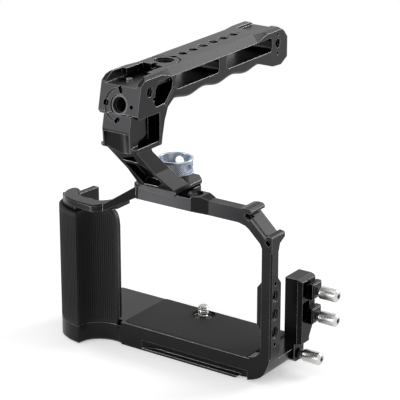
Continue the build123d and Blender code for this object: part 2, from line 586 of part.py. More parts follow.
def side_pad():
    """Thin soft strip on the inner face of the upright, above the thread boss."""
    x = SIDE_X - UPRIGHT_T
    y = FRONT_Y + 1.2
    return block(x - SIDE_PAD_T, x, y, y + UPRIGHT_DEPTH - 2.4, BOSS_HIGH_Z + 1.5, 73.0)


# ---------------------------------------------------------------- top handle
def handle_bar():
    """Long bar with its front block and rear end, cut from one side profile."""
    x, top = -HANDLE_HALF_X, HANDLE_TOP_Z
    wave_y = [WAVE_BACK_Y - 6.5 * step for step in range(1, 12)]
    wave_z = [GRIP_UNDER_Z - GRIP_WAVE * math.cos(2 * math.pi * (y - GRIP_WAVE_LOW_Y) / GRIP_WAVE_PITCH)
              for y in wave_y]
    front = Polyline((x, WING_BACK_Y, WING_LOW_Z), (x, WING_FRONT_Y, WING_LOW_Z),
                     (x, WING_FRONT_Y - 1.6, WING_LOW_Z + 1.9), (x, *BLOCK_FRONT_TOP),
                     (x, BLOCK_TOP_Y, top), (x, REAR_Y - 7.6, top), (x, REAR_Y - 3.6, top - 2.5),
                     (x, REAR_Y, top - 6.5), (x, REAR_Y, top - 17.5), (x, REAR_Y - 6.0, REAR_LOW_Z),
                     (x, REAR_BLOCK_Y, REAR_LOW_Z + 0.5), (x, WAVE_BACK_Y, GRIP_UNDER_Z + 0.5))
    wave = Spline(front @ 1, *[(x, y, z) for y, z in zip(wave_y, wave_z)],
                  (x, WAVE_FRONT_Y, GRIP_UNDER_Z + 0.6))
    close = Polyline(wave @ 1, (x, WAVE_FRONT_Y - 3.4, GRIP_UNDER_Z - 1.7), front @ 0)
    bar = extrude(make_face(front + wave + close), 2 * HANDLE_HALF_X, dir=(1, 0, 0))
    bar = fillet(bar.edges().filter_by(GeomType.BSPLINE), GRIP_UNDER_R)
    return bar - both_sides(top_edge_cut())


def edge_section(width, height):
    """Section of the cutter that bevels the right top edge of the bar."""
    x, z = HANDLE_HALF_X, HANDLE_TOP_Z
    return [(x - width, z), (x, z - height), (x + CUT, z - height), (x + CUT, z + CUT), (x - width, z + CUT)]


def top_edge_cut():
    """Narrow bevel on the block, widening to the broad bevel of the grip."""
    small = edge_section(BLOCK_CHAMFER, BLOCK_CHAMFER)
    broad = edge_section(GRIP_CHAMFER_X, GRIP_CHAMFER_Z)
    cut = prism_y(small, BLOCK_FRONT_LOW[0] - CUT, GRIP_BEVEL_Y[0])
    cut += prism_y(broad, GRIP_BEVEL_Y[1], GRIP_BEVEL_Y[2])
    cut += prism_y(small, GRIP_BEVEL_Y[3], REAR_Y + CUT)
    for (near, y0), (far, y1) in (((small, GRIP_BEVEL_Y[0]), (broad, GRIP_BEVEL_Y[1])),
                                  ((broad, GRIP_BEVEL_Y[2]), (small, GRIP_BEVEL_Y[3]))):
        faces = [make_face(Polyline(*[(x, y, z) for x, z in outline], close=True))
                 for outline, y in ((near, y0), (far, y1))]
        cut += loft(faces, ruled=True)
    return cut


def neck():
    """Narrow neck under the block, with a rim at its back and a scoop in its front."""
    low = SHOULDER_Z
    core = prism_x([BLOCK_FRONT_LOW, (-63.8, low + 8.6), (-63.2, low), (-63.2, low - 1), (-42.4, low - 1),
                    (-41.9, low), (-41.5, low + 2.5), (-39.7, low + 9.7), (WING_BACK_Y, WING_LOW_Z + 1),
                    (-62.2, WING_LOW_Z + 1)], -NECK_HALF_X, NECK_HALF_X)
    rim = prism_x([(NECK_RIM_FRONT_Y, low - 2.2), (NECK_RIM_FRONT_Y, WING_LOW_Z + 1), (-37.2, WING_LOW_Z + 1),
                   (-37.4, WING_LOW_Z), (-39.7, low + 9.7), (-41.5, low + 2.5), (-42.3, low - 1.9)],
                  -HANDLE_HALF_X, HANDLE_HALF_X)
    corner = [(-51.0, WING_LOW_Z - 0.9), (-50.2, low + 4.6), (-53.0, low + 3.0),
              (NECK_RECESS_STEP_Y, low + 2.8), (NECK_RECESS_STEP_Y, low), (NECK_RIM_FRONT_Y, low),
              (NECK_RIM_FRONT_Y, WING_LOW_Z - 0.9)]
    deep = prism_x(corner, NECK_HALF_X - NECK_RECESS, NECK_HALF_X + CUT)
    shallow = block(NECK_HALF_X - NECK_RECESS_FRONT, NECK_HALF_X + CUT, -61.2, NECK_RECESS_STEP_Y,
                    low, low + 2.5)
    return core + rim - both_sides(deep + shallow)


def scoop():
    """Round channel down the front of the neck that runs out on the strut."""
    height = SCOOP_HIGH_Z - SCOOP_LOW_Z
    lean = math.degrees(math.atan2(SCOOP_LEAN, height))
    channel = Cylinder(SCOOP_R, height + 8, align=(Align.CENTER, Align.CENTER, Align.MAX))
    channel = fillet(channel.edges().sort_by(Axis.Z)[-1], 1.2)
    return Pos(0, SCOOP_Y, SCOOP_HIGH_Z) * Rot(lean, 0, 0) * channel


def strut():
    """Slanted strut from the neck back to the foot, waisted above and wider at the foot."""
    low = SHOULDER_Z - SHOULDER_T
    (sy, sz), (fy, fz), (ey, ez) = STRUT_FRONT
    top = PLATFORM_TOP_Z + FOOT_T
    body = prism_x([(sy, sz), (fy, fz), (ey, ez), (ey, PLATFORM_TOP_Z), (FOOT_BACK_Y, PLATFORM_TOP_Z),
                    (FOOT_BACK_Y, top), STRUT_BACK[1], STRUT_BACK[0], (-46.5, SHOULDER_Z - 4.1),
                    (-42.3, SHOULDER_Z - 1.9), (-42.1, SHOULDER_Z)], -STRUT_HALF_X, STRUT_HALF_X)
    out, corner_x = STRUT_HALF_X + CUT, STRUT_HALF_X - SHOULDER_CORNER
    body -= both_sides(prism_y([(STRUT_WAIST_X, low), (STRUT_WAIST_X, STRUT_FLARE_Z),
                                (STRUT_HALF_X, top + 1.2), (out, top + 1.2), (out, low)],
                               sy - CUT, FOOT_BACK_Y))
    body -= both_sides(prism_z([(corner_x, sy - CUT), (corner_x, sy), (STRUT_HALF_X, sy + SHOULDER_CORNER),
                                (out, sy + SHOULDER_CORNER), (out, sy - CUT)],
                               low - CUT, SHOULDER_Z + CUT))
    body -= rod((0, KNOB_Y, top), KNOB_RELIEF_R, 60)
    body -= rod((0, KNOB_Y, PLATFORM_TOP_Z - CUT), QUARTER_CLEAR_R, FOOT_T + 2 * CUT)
    body -= both_sides(foot_corner_cut() + foot_edge_cut())
    for side in (-1, 1):
        body -= rod((side * FOOT_PIN_X, FOOT_PIN_Y, PLATFORM_TOP_Z - CUT), FOOT_PIN_R + RUN,
                    CUT + FOOT_PIN_LENGTH / 2 + 0.3)
    return body - strut_pocket()


def foot_corner_cut():
    """Cutter for the right back corner of the foot."""
    x, y = STRUT_HALF_X, FOOT_BACK_Y
    return prism_z([(x, y - FOOT_CORNER), (x - FOOT_CORNER, y), (x - FOOT_CORNER, y + CUT), (x + CUT, y + CUT),
                    (x + CUT, y - FOOT_CORNER)], PLATFORM_TOP_Z - CUT, PLATFORM_TOP_Z + 2 * FOOT_T)


def foot_edge_cut():
    """Cutter that bevels the lower right edge of the foot."""
    x, z = STRUT_HALF_X, PLATFORM_TOP_Z
    return prism_y([(x, z - CUT), (x - 1.6, z - CUT), (x - 1.6, z), (x, z + 1.8), (x + CUT, z + 1.8),
                    (x + CUT, z - CUT)], FOOT_FRONT_Y - CUT, FOOT_BACK_Y + CUT)


def strut_pocket():
    """Pockets in the front face of the strut, parted by a slanted and a level rib."""
    (fy, fz), (ey, ez) = STRUT_FRONT[1:]
    length = math.hypot(ey - fy, ez - fz)
    along = (0, (ey - fy) / length, (ez - fz) / length)
    plane = Plane(origin=(0, (fy + ey) / 2, (fz + ez) / 2), x_dir=along, z_dir=(0, along[2], -along[1]))
    side = STRUT_POCKET_HALF_X
    middle = [(-15.8, 4.4), (-8.0, 3.0), (-8.6, -6.2), (-10.0, -6.2)]
    lower = [(-5.6, -6.6), (-5.6, 3.0), (-2.0, side), (12.0, side), (17.6, 1.6), (17.6, -side), (-4.0, -side)]
    faces = [plane * make_face(Polyline(*outline, close=True)) for outline in (middle, lower)]
    pockets = [extrude(face, -STRUT_POCKET_DEPTH) + extrude(face, 4 * CUT) for face in faces]
    return pockets[0] + pockets[1]


def block_pocket():
    """Deep window in each side of the block, shallower where the shoe runs over it."""
    top = HANDLE_TOP_Z
    outline = [(-44.6, top - 4.2), (-34.4, top - 4.2), (-32.8, top - 6.0), (-33.5, top - 10.0),
               (-39.6, top - 16.3), (-46.8, top - 16.5), (-48.4, top - 14.7), (-46.9, top - 7.0)]
    shallow = prism_x(outline, HANDLE_HALF_X - POCKET_DEPTH, HANDLE_HALF_X + CUT)
    deep = prism_x(outline, HANDLE_HALF_X - POCKET_DEEP, HANDLE_HALF_X + CUT)
    deep = deep & block(0, 20, -60, -20, REAR_LOW_Z, SHOE_FLOOR_Z - 1.9)
    trace = prism_x([(-32.4, top - 9.5), (-31.6, top - 10.1), (-38.6, top - 17.8), (-39.4, top - 17.1)],
                    HANDLE_HALF_X - 0.6, HANDLE_HALF_X + CUT)
    return both_sides(shallow + deep + trace)


def cold_shoe():
    """Channel for an accessory foot: open at the front, with a lip on each side at the back."""
    slot = block(-SHOE_HALF_X, SHOE_HALF_X, -75, SHOE_BACK_Y, SHOE_FLOOR_Z, SHOE_FLOOR_Z + SHOE_SLOT_T)
    mouth = block(-SHOE_MOUTH_HALF_X, SHOE_MOUTH_HALF_X, -75, SHOE_BACK_Y, SHOE_FLOOR_Z, HANDLE_TOP_Z + CUT)
    mouth += block(-SHOE_HALF_X, SHOE_HALF_X, -75, SHOE_LIP_FRONT_Y, SHOE_FLOOR_Z, HANDLE_TOP_Z + CUT)
    screw = rod((*SHOE_SCREW, SHOE_FLOOR_Z - SHOE_SCREW_LENGTH), SHOE_SCREW_R + RUN, SHOE_SCREW_LENGTH + CUT)
    return slot + mouth + screw


def front_plane():
    """Plane of the slanted front face, centred on the 3/8 inch hole, x to the right."""
    (ty, tz), (ly, lz) = BLOCK_FRONT_TOP, BLOCK_FRONT_LOW
    length = math.hypot(ty - ly, tz - lz)
    share = (FRONT_HOLE_Z - lz) / (tz - lz)
    return Plane(origin=(0, ly + share * (ty - ly), FRONT_HOLE_Z), x_dir=(1, 0, 0),
                 z_dir=(0, -(tz - lz) / length, (ty - ly) / length))


def locating_cuts(plane, depth, ring_from, ring_to, pins):
    """Bore for a threaded insert with its locating ring and pin holes, cut along a plane's normal."""
    bore = plane * Circle(LOCATING_BOSS_R + RUN)
    cuts = extrude(bore, CUT) + extrude(bore, -depth)
    ring = CenterArc((0, 0), LOCATING_RING_R, ring_from, ring_to - ring_from)
    groove = offset(ring, LOCATING_RING_W / 2, kind=Kind.INTERSECTION)
    cuts += extrude(plane * make_face(groove), -LOCATING_RING_DEPTH)
    for x, y, radius in pins:
        cuts += extrude(plane * Pos(x, y) * Circle(radius), -LOCATING_PIN_DEPTH)
    return cuts


def top_handle():
    """Handle of one piece: shoe block, windowed grip, rear end, neck, strut and foot."""
    handle = handle_bar() + neck() + strut() - scoop() - block_pocket() - cold_shoe()
    middle_z = (WINDOW_LOW_Z + WINDOW_HIGH_Z) / 2
    for y0, y1 in WINDOWS_Y:
        across = Plane(origin=(0, (y0 + y1) / 2, middle_z), x_dir=(0, 1, 0), z_dir=(1, 0, 0))
        window = RectangleRounded(y1 - y0, WINDOW_HIGH_Z - WINDOW_LOW_Z, WINDOW_CORNER_R)
        handle -= extrude(across * window, 2 * HANDLE_HALF_X, both=True)
    for step in range(TOP_HOLES):
        y = TOP_HOLE_FIRST_Y + step * TOP_HOLE_PITCH
        handle -= rod((0, y, HANDLE_TOP_Z - TOP_HOLE_DEPTH), TAP_QUARTER_R, TOP_HOLE_DEPTH + CUT)
        handle -= rod((0, y + TOP_HOLE_PIN_OUT, HANDLE_TOP_Z - 2.5), TOP_HOLE_PIN_R, 2.5 + CUT)
    top = Plane(origin=(0, LOCATING_HOLE_Y, HANDLE_TOP_Z), x_dir=(1, 0, 0), z_dir=(0, 0, 1))
    top_pins = [(0, -LOCATING_RING_R, LOCATING_PIN_R), (0, LOCATING_RING_R, LOCATING_PIN_R)]
    handle -= locating_cuts(top, RAIL_T + CUT, 0, 180, top_pins)
    front = front_plane()
    front_pins = [(-LOCATING_RING_R + 0.3, 0, LOCATING_PIN_R), (7.6, 0, 1.15)]
    handle -= locating_cuts(front, INSERT_BORE_DEPTH, 110, 250, front_pins)
    for y, turn in ((7.5, -60), (-7.5, 45)):
        handle -= extrude(front * Pos(0, y) * Rot(0, 0, turn) * SlotOverall(3.8, 2.3), -LOCATING_PIN_DEPTH)
    handle -= block(-TROUGH_HALF_X, TROUGH_HALF_X, TROUGH_FRONT_Y, REAR_Y + CUT, HANDLE_TOP_Z - TROUGH_DEPTH,
                    HANDLE_TOP_Z + CUT)
    for side in (-1, 1):
        for y, z in SIDE_HOLES:
            start = side * HANDLE_HALF_X - (SIDE_HOLE_DEPTH if side > 0 else CUT)
            handle -= rod((start, y, z), TAP_QUARTER_R, SIDE_HOLE_DEPTH + CUT, "x")
    for y, z in SIDE_PINS:
        handle -= both_sides(rod((HANDLE_HALF_X - 2.0, y, z), SIDE_HOLE_PIN_R, 2.0 + CUT, "x"))
    return handle


def handle_inserts():
    """Steel inserts with a 3/8 inch thread, in the top and in the front of the handle."""
    top = Plane(origin=(0, LOCATING_HOLE_Y, HANDLE_TOP_Z), x_dir=(1, 0, 0), z_dir=(0, 0, 1))
    inserts = []
    for plane, depth in ((top, RAIL_T), (front_plane(), INSERT_BORE_DEPTH)):
        mouth = plane * Pos(0, 0, -INSERT_SET_BACK) * Circle(LOCATING_BOSS_R)
        body = extrude(mouth, -(depth - INSERT_SET_BACK))
        inserts.append(body - extrude(plane * Circle(TAP_THREE_EIGHTHS_R), 2 * depth, both=True))
    return Compound(children=inserts)


def shoe_stop_screw():
    """Small screw whose head stops an accessory foot in the cold shoe."""
    x, y = SHOE_SCREW
    shank = rod((x, y, SHOE_FLOOR_Z - SHOE_SCREW_LENGTH + 0.3), SHOE_SCREW_R, SHOE_SCREW_LENGTH - 0.3)
    head = rod((x, y, SHOE_FLOOR_Z), SHOE_SCREW_R + 0.7, 0.8)
    return shank + head - rod((x, y, SHOE_FLOOR_Z + 0.3), 0.65, 1.0)


def foot_pins():
    """Two dowels that keep the foot of the handle square on the platform."""
    z = PLATFORM_TOP_Z - FOOT_PIN_LENGTH / 2
    return Compound(children=[rod((side * FOOT_PIN_X, FOOT_PIN_Y, z), FOOT_PIN_R, FOOT_PIN_LENGTH)
                              for side in (-1, 1)])


# ----------------------------------------------------------------- lock knob
def lock_collar():
    """Flanged collar that the knob turns on."""
    z = PLATFORM_TOP_Z + FOOT_T
    collar = rod((0, KNOB_Y, z), COLLAR_R, KNOB_LOW_Z - z - SEAT)
    collar += rod((0, KNOB_Y, PLATFORM_TOP_Z + 0.3), COLLAR_SPIGOT_R, FOOT_T)
    return collar - rod((0, KNOB_Y, PLATFORM_TOP_Z), QUARTER_SHANK_R + RUN, 3 * FOOT_T)


def lock_knob():
    """Cup-shaped knob, open at the top, with three holes for a pin."""
    cup = rod((0, KNOB_Y, KNOB_LOW_Z), KNOB_R, KNOB_HEIGHT)
    cup = chamfer(cup.edges().sort_by(Axis.Z)[0], KNOB_CHAMFER)
    cup -= rod((0, KNOB_Y, KNOB_LOW_Z + KNOB_FLOOR), KNOB_R - KNOB_WALL, KNOB_HEIGHT)
    cup = fillet(cup.faces().sort_by(Axis.Z)[-1].edges(), 0.45)
    for step in range(3):
        turn = Rot(0, 0, KNOB_HOLE_FIRST_DEG + 120 * step)
        cup -= Pos(0, KNOB_Y, 0) * turn * rod((0, 0, KNOB_HOLE_Z), KNOB_HOLE_R, KNOB_R + CUT, "x")
    return cup - rod((0, KNOB_Y, KNOB_LOW_Z - CUT), QUARTER_SHANK_R + RUN, KNOB_HEIGHT)


def lock_screw():
    """Screw fixed in the knob: head in the cup, shank down into the platform."""
    seat = KNOB_LOW_Z + KNOB_FLOOR
    head = rod((0, KNOB_Y, seat), LOCK_HEAD_R, LOCK_HEAD_T)
    head = chamfer(head.edges().sort_by(Axis.Z)[-1], 0.4)
    hexagon = Pos(0, KNOB_Y, seat + 0.6) * extrude(RegularPolygon(LOCK_HEX_R, 6), LOCK_HEAD_T)
    low = PLATFORM_TOP_Z - LOCK_ENGAGEMENT
    shank = rod((0, KNOB_Y, low), QUARTER_SHANK_R, seat - low)
    shank = chamfer(shank.edges().sort_by(Axis.Z)[0], 0.5)
    return head + shank - hexagon


# --------------------------------------------------------------- cable clamp
def clamp_body():
    """Plate with two cable slots, open towards the jaws, on a narrower foot."""
    x1 = CLAMP_X + CLAMP_T
    y1 = CLAMP_FRONT_Y + CLAMP_DEPTH
    plate = prism_x([(CLAMP_FRONT_Y, CLAMP_LOW_Z), (y1 - CLAMP_TAPER_Y, CLAMP_LOW_Z),
                     (y1 - CLAMP_TAPER_Y, CLAMP_LOW_Z + 2.2), (y1, CLAMP_TAPER_Z), (y1, CLAMP_HIGH_Z - 1.0),
                     (y1 - 1.0, CLAMP_HIGH_Z), (CLAMP_FRONT_Y, CLAMP_HIGH_Z)], CLAMP_X, x1)
    rims = plate.faces().sort_by(Axis.X)[-1].edges()
    plate = chamfer([rims.sort_by(Axis.Y)[0], rims.sort_by(Axis.Z)[-1]], CLAMP_EDGE)
    foot = block(CLAMP_X, CLAMP_FOOT_X, CLAMP_FRONT_Y, y1 - CLAMP_TAPER_Y, CLAMP_FOOT_LOW_Z, CLAMP_LOW_Z + CUT)
    foot = chamfer(foot.faces().sort_by(Axis.Z)[0].edges().filter_by(Axis.X), 1.5)
    body = plate + foot
    for z0, z1 in SLOTS_Z:
        across = Plane(origin=(x1, CLAMP_FRONT_Y + SLOT_FRONT_WALL + SLOT_WIDTH / 2, (z0 + z1) / 2),
                       x_dir=(0, 1, 0), z_dir=(1, 0, 0))
        body -= extrude(across * RectangleRounded(SLOT_WIDTH, z1 - z0, 1.2), 2 * CLAMP_T, both=True)
    for z in JAW_SCREWS_Z:
        body -= rod((x1 - JAW_SCREW_DEPTH, JAW_SCREW_Y, z), THUMB_TAP_R, JAW_SCREW_DEPTH + CUT, "x")
    body -= rod((CLAMP_X - CUT, MOUNT_SCREW_Y, MOUNT_SCREW_Z), THUMB_TAP_R, CLAMP_T, "x")
    for y in clamp_pin_ys():
        body -= rod((CLAMP_X - CUT, y, MOUNT_SCREW_Z), CLAMP_PIN_R + RUN, CUT + CLAMP_PIN_LENGTH / 2 + 0.4, "x")
    return body


def clamp_pins():
    """Two dowels between the base and the foot of the clamp."""
    x = CLAMP_X - CLAMP_PIN_LENGTH / 2
    return Compound(children=[rod((x, y, MOUNT_SCREW_Z), CLAMP_PIN_R, CLAMP_PIN_LENGTH, "x")
                              for y in clamp_pin_ys()])


def clamp_jaw(z):
    """Sliding jaw with a nose that reaches into the cable slot, screwed on at height z."""
    x0 = CLAMP_X + CLAMP_T + SEAT
    middle = z + JAW_RISE
    plate = block(x0, x0 + JAW_T, JAW_FRONT_Y, JAW_FRONT_Y + JAW_DEPTH, middle - JAW_HEIGHT / 2,
                  middle + JAW_HEIGHT / 2)
    plate = chamfer(plate.faces().sort_by(Axis.X)[-1].edges(), 0.6)
    (front, back), (low, high) = JAW_NOSE, JAW_NOSE_Z
    nose = prism_z([(x0 + CUT, front), (x0 - JAW_NOSE_LENGTH, front + JAW_NOSE_TAPER),
                    (x0 - JAW_NOSE_LENGTH, back - JAW_NOSE_TAPER), (x0 + CUT, back)], z + low, z + high)
    jaw = plate + nose - rod((x0 - CUT, JAW_SCREW_Y, z), THUMB_SHANK_R + RUN, JAW_T + 2 * CUT, "x")
    return jaw - rod((x0 + JAW_T - CLIP_T - SEAT, JAW_SCREW_Y, z), CLIP_R + RUN, 2 * CUT, "x")


def thumb_screw(x, y, z, reach):
    """Round-headed thumb screw along +X: neck at x, shank reaching back from it."""
    neck = rod((x, y, z), THUMB_NECK_R, THUMB_NECK_T, "x")
    head = rod((x + THUMB_NECK_T, y, z), THUMB_R, THUMB_LENGTH, "x")
    head = chamfer(head.edges().filter_by(GeomType.CIRCLE), THUMB_EDGE)
    hexagon = Plane(origin=(x + THUMB_NECK_T + THUMB_LENGTH, y, z), x_dir=(0, 1, 0), z_dir=(1, 0, 0))
    socket = extrude(hexagon * RegularPolygon(THUMB_SOCKET_R, 6), -THUMB_SOCKET_DEPTH)
    shank = rod((x - reach, y, z), THUMB_SHANK_R, reach, "x")
    return head + neck + shank - socket


def retaining_clip(z):
    """Thin ring on the screw's shank, sunk in the back of the jaw plate."""
    x0 = CLAMP_X + CLAMP_T + JAW_T - CLIP_T
    ring = rod((x0, JAW_SCREW_Y, z), CLIP_R, CLIP_T, "x")
    return ring - rod((x0 - CUT, JAW_SCREW_Y, z), THUMB_SHANK_R + RUN, 4.0, "x")


def mount_washer():
    """Washer under the head of the screw that holds the clamp."""
    ring_x = CLAMP_FOOT_X + SEAT
    return rod((ring_x, MOUNT_SCREW_Y, MOUNT_SCREW_Z), MOUNT_WASHER_R, MOUNT_WASHER_T, "x") - rod(
        (ring_x - CUT, MOUNT_SCREW_Y, MOUNT_SCREW_Z), THUMB_SHANK_R + RUN, MOUNT_WASHER_T + 2 * CUT, "x")


# ------------------------------------------------------------------ base kit
def camera_screw():
    """Captive screw up through the base, with a slotted head in the underside."""
    head = rod((0, CAMERA_SCREW_Y, 0.3), CAMERA_SCREW_HEAD_R, CAMERA_SCREW_HEAD_T)
    head = chamfer(head.edges().sort_by(Axis.Z)[0], 0.4)
    top, neck_top = BASE_T + BASE_PAD_T + CAMERA_SCREW_REACH, CAMERA_SCREW_NECK_TOP_Z
    neck = rod((0, CAMERA_SCREW_Y, CAMERA_SCREW_HEAD_T), CAMERA_SCREW_NECK_R,
               neck_top - CAMERA_SCREW_HEAD_T + 0.5)
    thread = rod((0, CAMERA_SCREW_Y, neck_top), QUARTER_SHANK_R, top - neck_top)
    thread = chamfer(thread.edges().sort_by(Axis.Z)[-1], 0.5)
    slot = block(-CAMERA_SCREW_HEAD_R, CAMERA_SCREW_HEAD_R, CAMERA_SCREW_Y - 0.8, CAMERA_SCREW_Y + 0.8, 0, 1.9)
    return head + neck + thread - slot


def camera_screw_clip():
    """Ring on the shank that keeps the captive screw in the base."""
    z = BASE_T - 1.2
    clip = rod((0, CAMERA_SCREW_Y, z), QUARTER_CLEAR_R + 1.6, 0.9)
    return clip - rod((0, CAMERA_SCREW_Y, z - CUT), CAMERA_SCREW_NECK_R + RUN, 3.0)


def base_key():
    """Flat key stored in the underside of the base."""
    length = KEY_LENGTH
    key = Pos(KEY_X, KEY_Y, 0.2) * extrude(SlotOverall(length, KEY_WIDTH), KEY_T)
    return key - rod((KEY_X + length / 2 - KEY_WIDTH / 2, KEY_Y, 0), 1.8, KEY_T + 1)


def key_magnets():
    """Two round magnets sunk in the base over the key."""
    return Compound(children=[rod((x, KEY_Y, KEY_T + 0.4), MAGNET_R, MAGNET_T) for x in magnet_xs()])


# --------------------------------------------------------------------- parts
def all_parts():
    """Every node by name."""
    jaw_back = CLAMP_X + CLAMP_T + JAW_T + 2 * SEAT
    upper_z, lower_z = JAW_SCREWS_Z
    mount_x = CLAMP_FOOT_X + 2 * SEAT + MOUNT_WASHER_T
    return {
        "cage_frame": cage_frame(),
        "grip_cover": grip_cover(),
        "base_pad": base_pad(),
        "side_pad": side_pad(),
        "camera_screw": camera_screw(),
        "camera_screw_clip": camera_screw_clip(),
        "base_key": base_key(),
        "key_magnets": key_magnets(),
        "top_handle": top_handle(),
        "handle_inserts": handle_inserts(),
        "foot_pins": foot_pins(),
        "shoe_stop_screw": shoe_stop_screw(),
        "lock_collar": lock_collar(),
        "lock_knob": lock_knob(),
        "lock_screw": lock_screw(),
        "clamp_body": clamp_body(),
        "clamp_pins": clamp_pins(),
        "clamp_jaw_upper": clamp_jaw(upper_z),
        "clamp_jaw_lower": clamp_jaw(lower_z),
        "jaw_screw_upper": thumb_screw(jaw_back, JAW_SCREW_Y, upper_z, JAW_SCREW_REACH),
        "jaw_screw_lower": thumb_screw(jaw_back, JAW_SCREW_Y, lower_z, JAW_SCREW_REACH),
        "jaw_clip_upper": retaining_clip(upper_z),
        "jaw_clip_lower": retaining_clip(lower_z),
        "clamp_mount_screw": thumb_screw(mount_x, MOUNT_SCREW_Y, MOUNT_SCREW_Z, MOUNT_SCREW_REACH),
        "clamp_mount_washer": mount_washer(),
    }


os.makedirs("parts", exist_ok=True)
for name, shape in all_parts().items():
    shape.label = name
    export_step(shape, "parts/" + name + ".step")
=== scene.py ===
import json
import logging
import math
from dataclasses import dataclass
from enum import Enum
from typing import Sequence

import bmesh
import bpy
import numpy as np
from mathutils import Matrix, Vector


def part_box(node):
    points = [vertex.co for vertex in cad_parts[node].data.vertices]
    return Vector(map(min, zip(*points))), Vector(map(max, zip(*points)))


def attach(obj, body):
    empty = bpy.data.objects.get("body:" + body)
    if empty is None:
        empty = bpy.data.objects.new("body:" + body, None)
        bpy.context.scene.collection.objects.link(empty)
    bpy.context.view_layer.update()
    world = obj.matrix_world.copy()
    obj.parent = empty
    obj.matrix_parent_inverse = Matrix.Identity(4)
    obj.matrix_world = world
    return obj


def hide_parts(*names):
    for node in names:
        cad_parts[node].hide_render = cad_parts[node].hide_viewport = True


# A camera cage with a rubber-covered grip side, a top handle on a slanted strut,
# a knurled lock knob and a cable clamp. Sizes in the classes are in millimetres.

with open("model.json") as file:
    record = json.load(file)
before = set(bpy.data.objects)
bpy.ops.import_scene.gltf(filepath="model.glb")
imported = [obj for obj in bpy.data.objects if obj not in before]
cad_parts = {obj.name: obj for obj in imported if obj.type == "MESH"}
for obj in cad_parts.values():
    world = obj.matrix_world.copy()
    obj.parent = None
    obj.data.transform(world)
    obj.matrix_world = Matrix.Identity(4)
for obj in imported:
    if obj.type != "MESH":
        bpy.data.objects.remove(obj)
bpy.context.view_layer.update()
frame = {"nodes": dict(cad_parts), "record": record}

LOG = logging.getLogger("cage")
MM = 0.001
NEAR_ZERO = 1e-6
EDGE_GAIN = 7.0  # how soon a normal that the rounding turns counts as an edge
RIB_SHARPNESS = 2.5  # power that narrows the grooves between the ribs
THREAD_STEPS = 28  # runs in each turn of a thread
THREAD_SIDES = 4  # faces round the ridge of a thread

Point = tuple[float, float]
Place = tuple[float, float, float]
Colour = tuple[float, float, float]


class Body(Enum):
    """Rigid bodies that pieces ride on."""

    CAGE = "cage"
    KNOB = "knob"
    CAMERA_BOLT = "camera_bolt"
    UPPER_JAW_SCREW = "upper_jaw_screw"
    LOWER_JAW_SCREW = "lower_jaw_screw"
    MOUNT_SCREW = "mount_screw"


class Slot(Enum):
    """Material slots of the record."""

    FRAME = "anodised_frame"
    HANDLE = "anodised_handle"
    CLAMP = "anodised_clamp"
    GRIP = "grip_rubber"
    PAD = "pad_rubber"
    STEEL = "steel_screw"
    THUMB = "thumb_steel"
    BLACK = "black_steel"
    MAGNET = "magnet_nickel"
    KNOB = "knob_aluminium"


class TurningAxis(Enum):
    """Axis that a turned piece was spun about, as the stretch of its tool marks."""

    X = (6000.0, 60.0, 60.0)
    Z = (60.0, 60.0, 6000.0)


# --------------------------------------------------------------------- node trees
class Field:
    """Output of a node, with the arithmetic that the trees use."""

    def __init__(self, graph: "Graph", socket: bpy.types.NodeSocket) -> None:
        """Wrap a socket of a graph."""
        self.graph = graph
        self.socket = socket

    def __add__(self, other: "Field | float") -> "Field":
        """self + other."""
        return self.graph.math("ADD", self, other)

    def __radd__(self, other: float) -> "Field":
        """other + self."""
        return self.graph.math("ADD", other, self)

    def __sub__(self, other: "Field | float") -> "Field":
        """self - other."""
        return self.graph.math("SUBTRACT", self, other)

    def __rsub__(self, other: float) -> "Field":
        """other - self."""
        return self.graph.math("SUBTRACT", other, self)

    def __mul__(self, other: "Field | float") -> "Field":
        """self * other."""
        return self.graph.math("MULTIPLY", self, other)

    def __rmul__(self, other: float) -> "Field":
        """other * self."""
        return self.graph.math("MULTIPLY", other, self)

    def __truediv__(self, other: "Field | float") -> "Field":
        """self / other."""
        return self.graph.math("DIVIDE", self, other)

    def __rtruediv__(self, other: float) -> "Field":
        """other / self."""
        return self.graph.math("DIVIDE", other, self)

    def __pow__(self, power: float) -> "Field":
        """self to a power."""
        return self.graph.math("POWER", self, power)


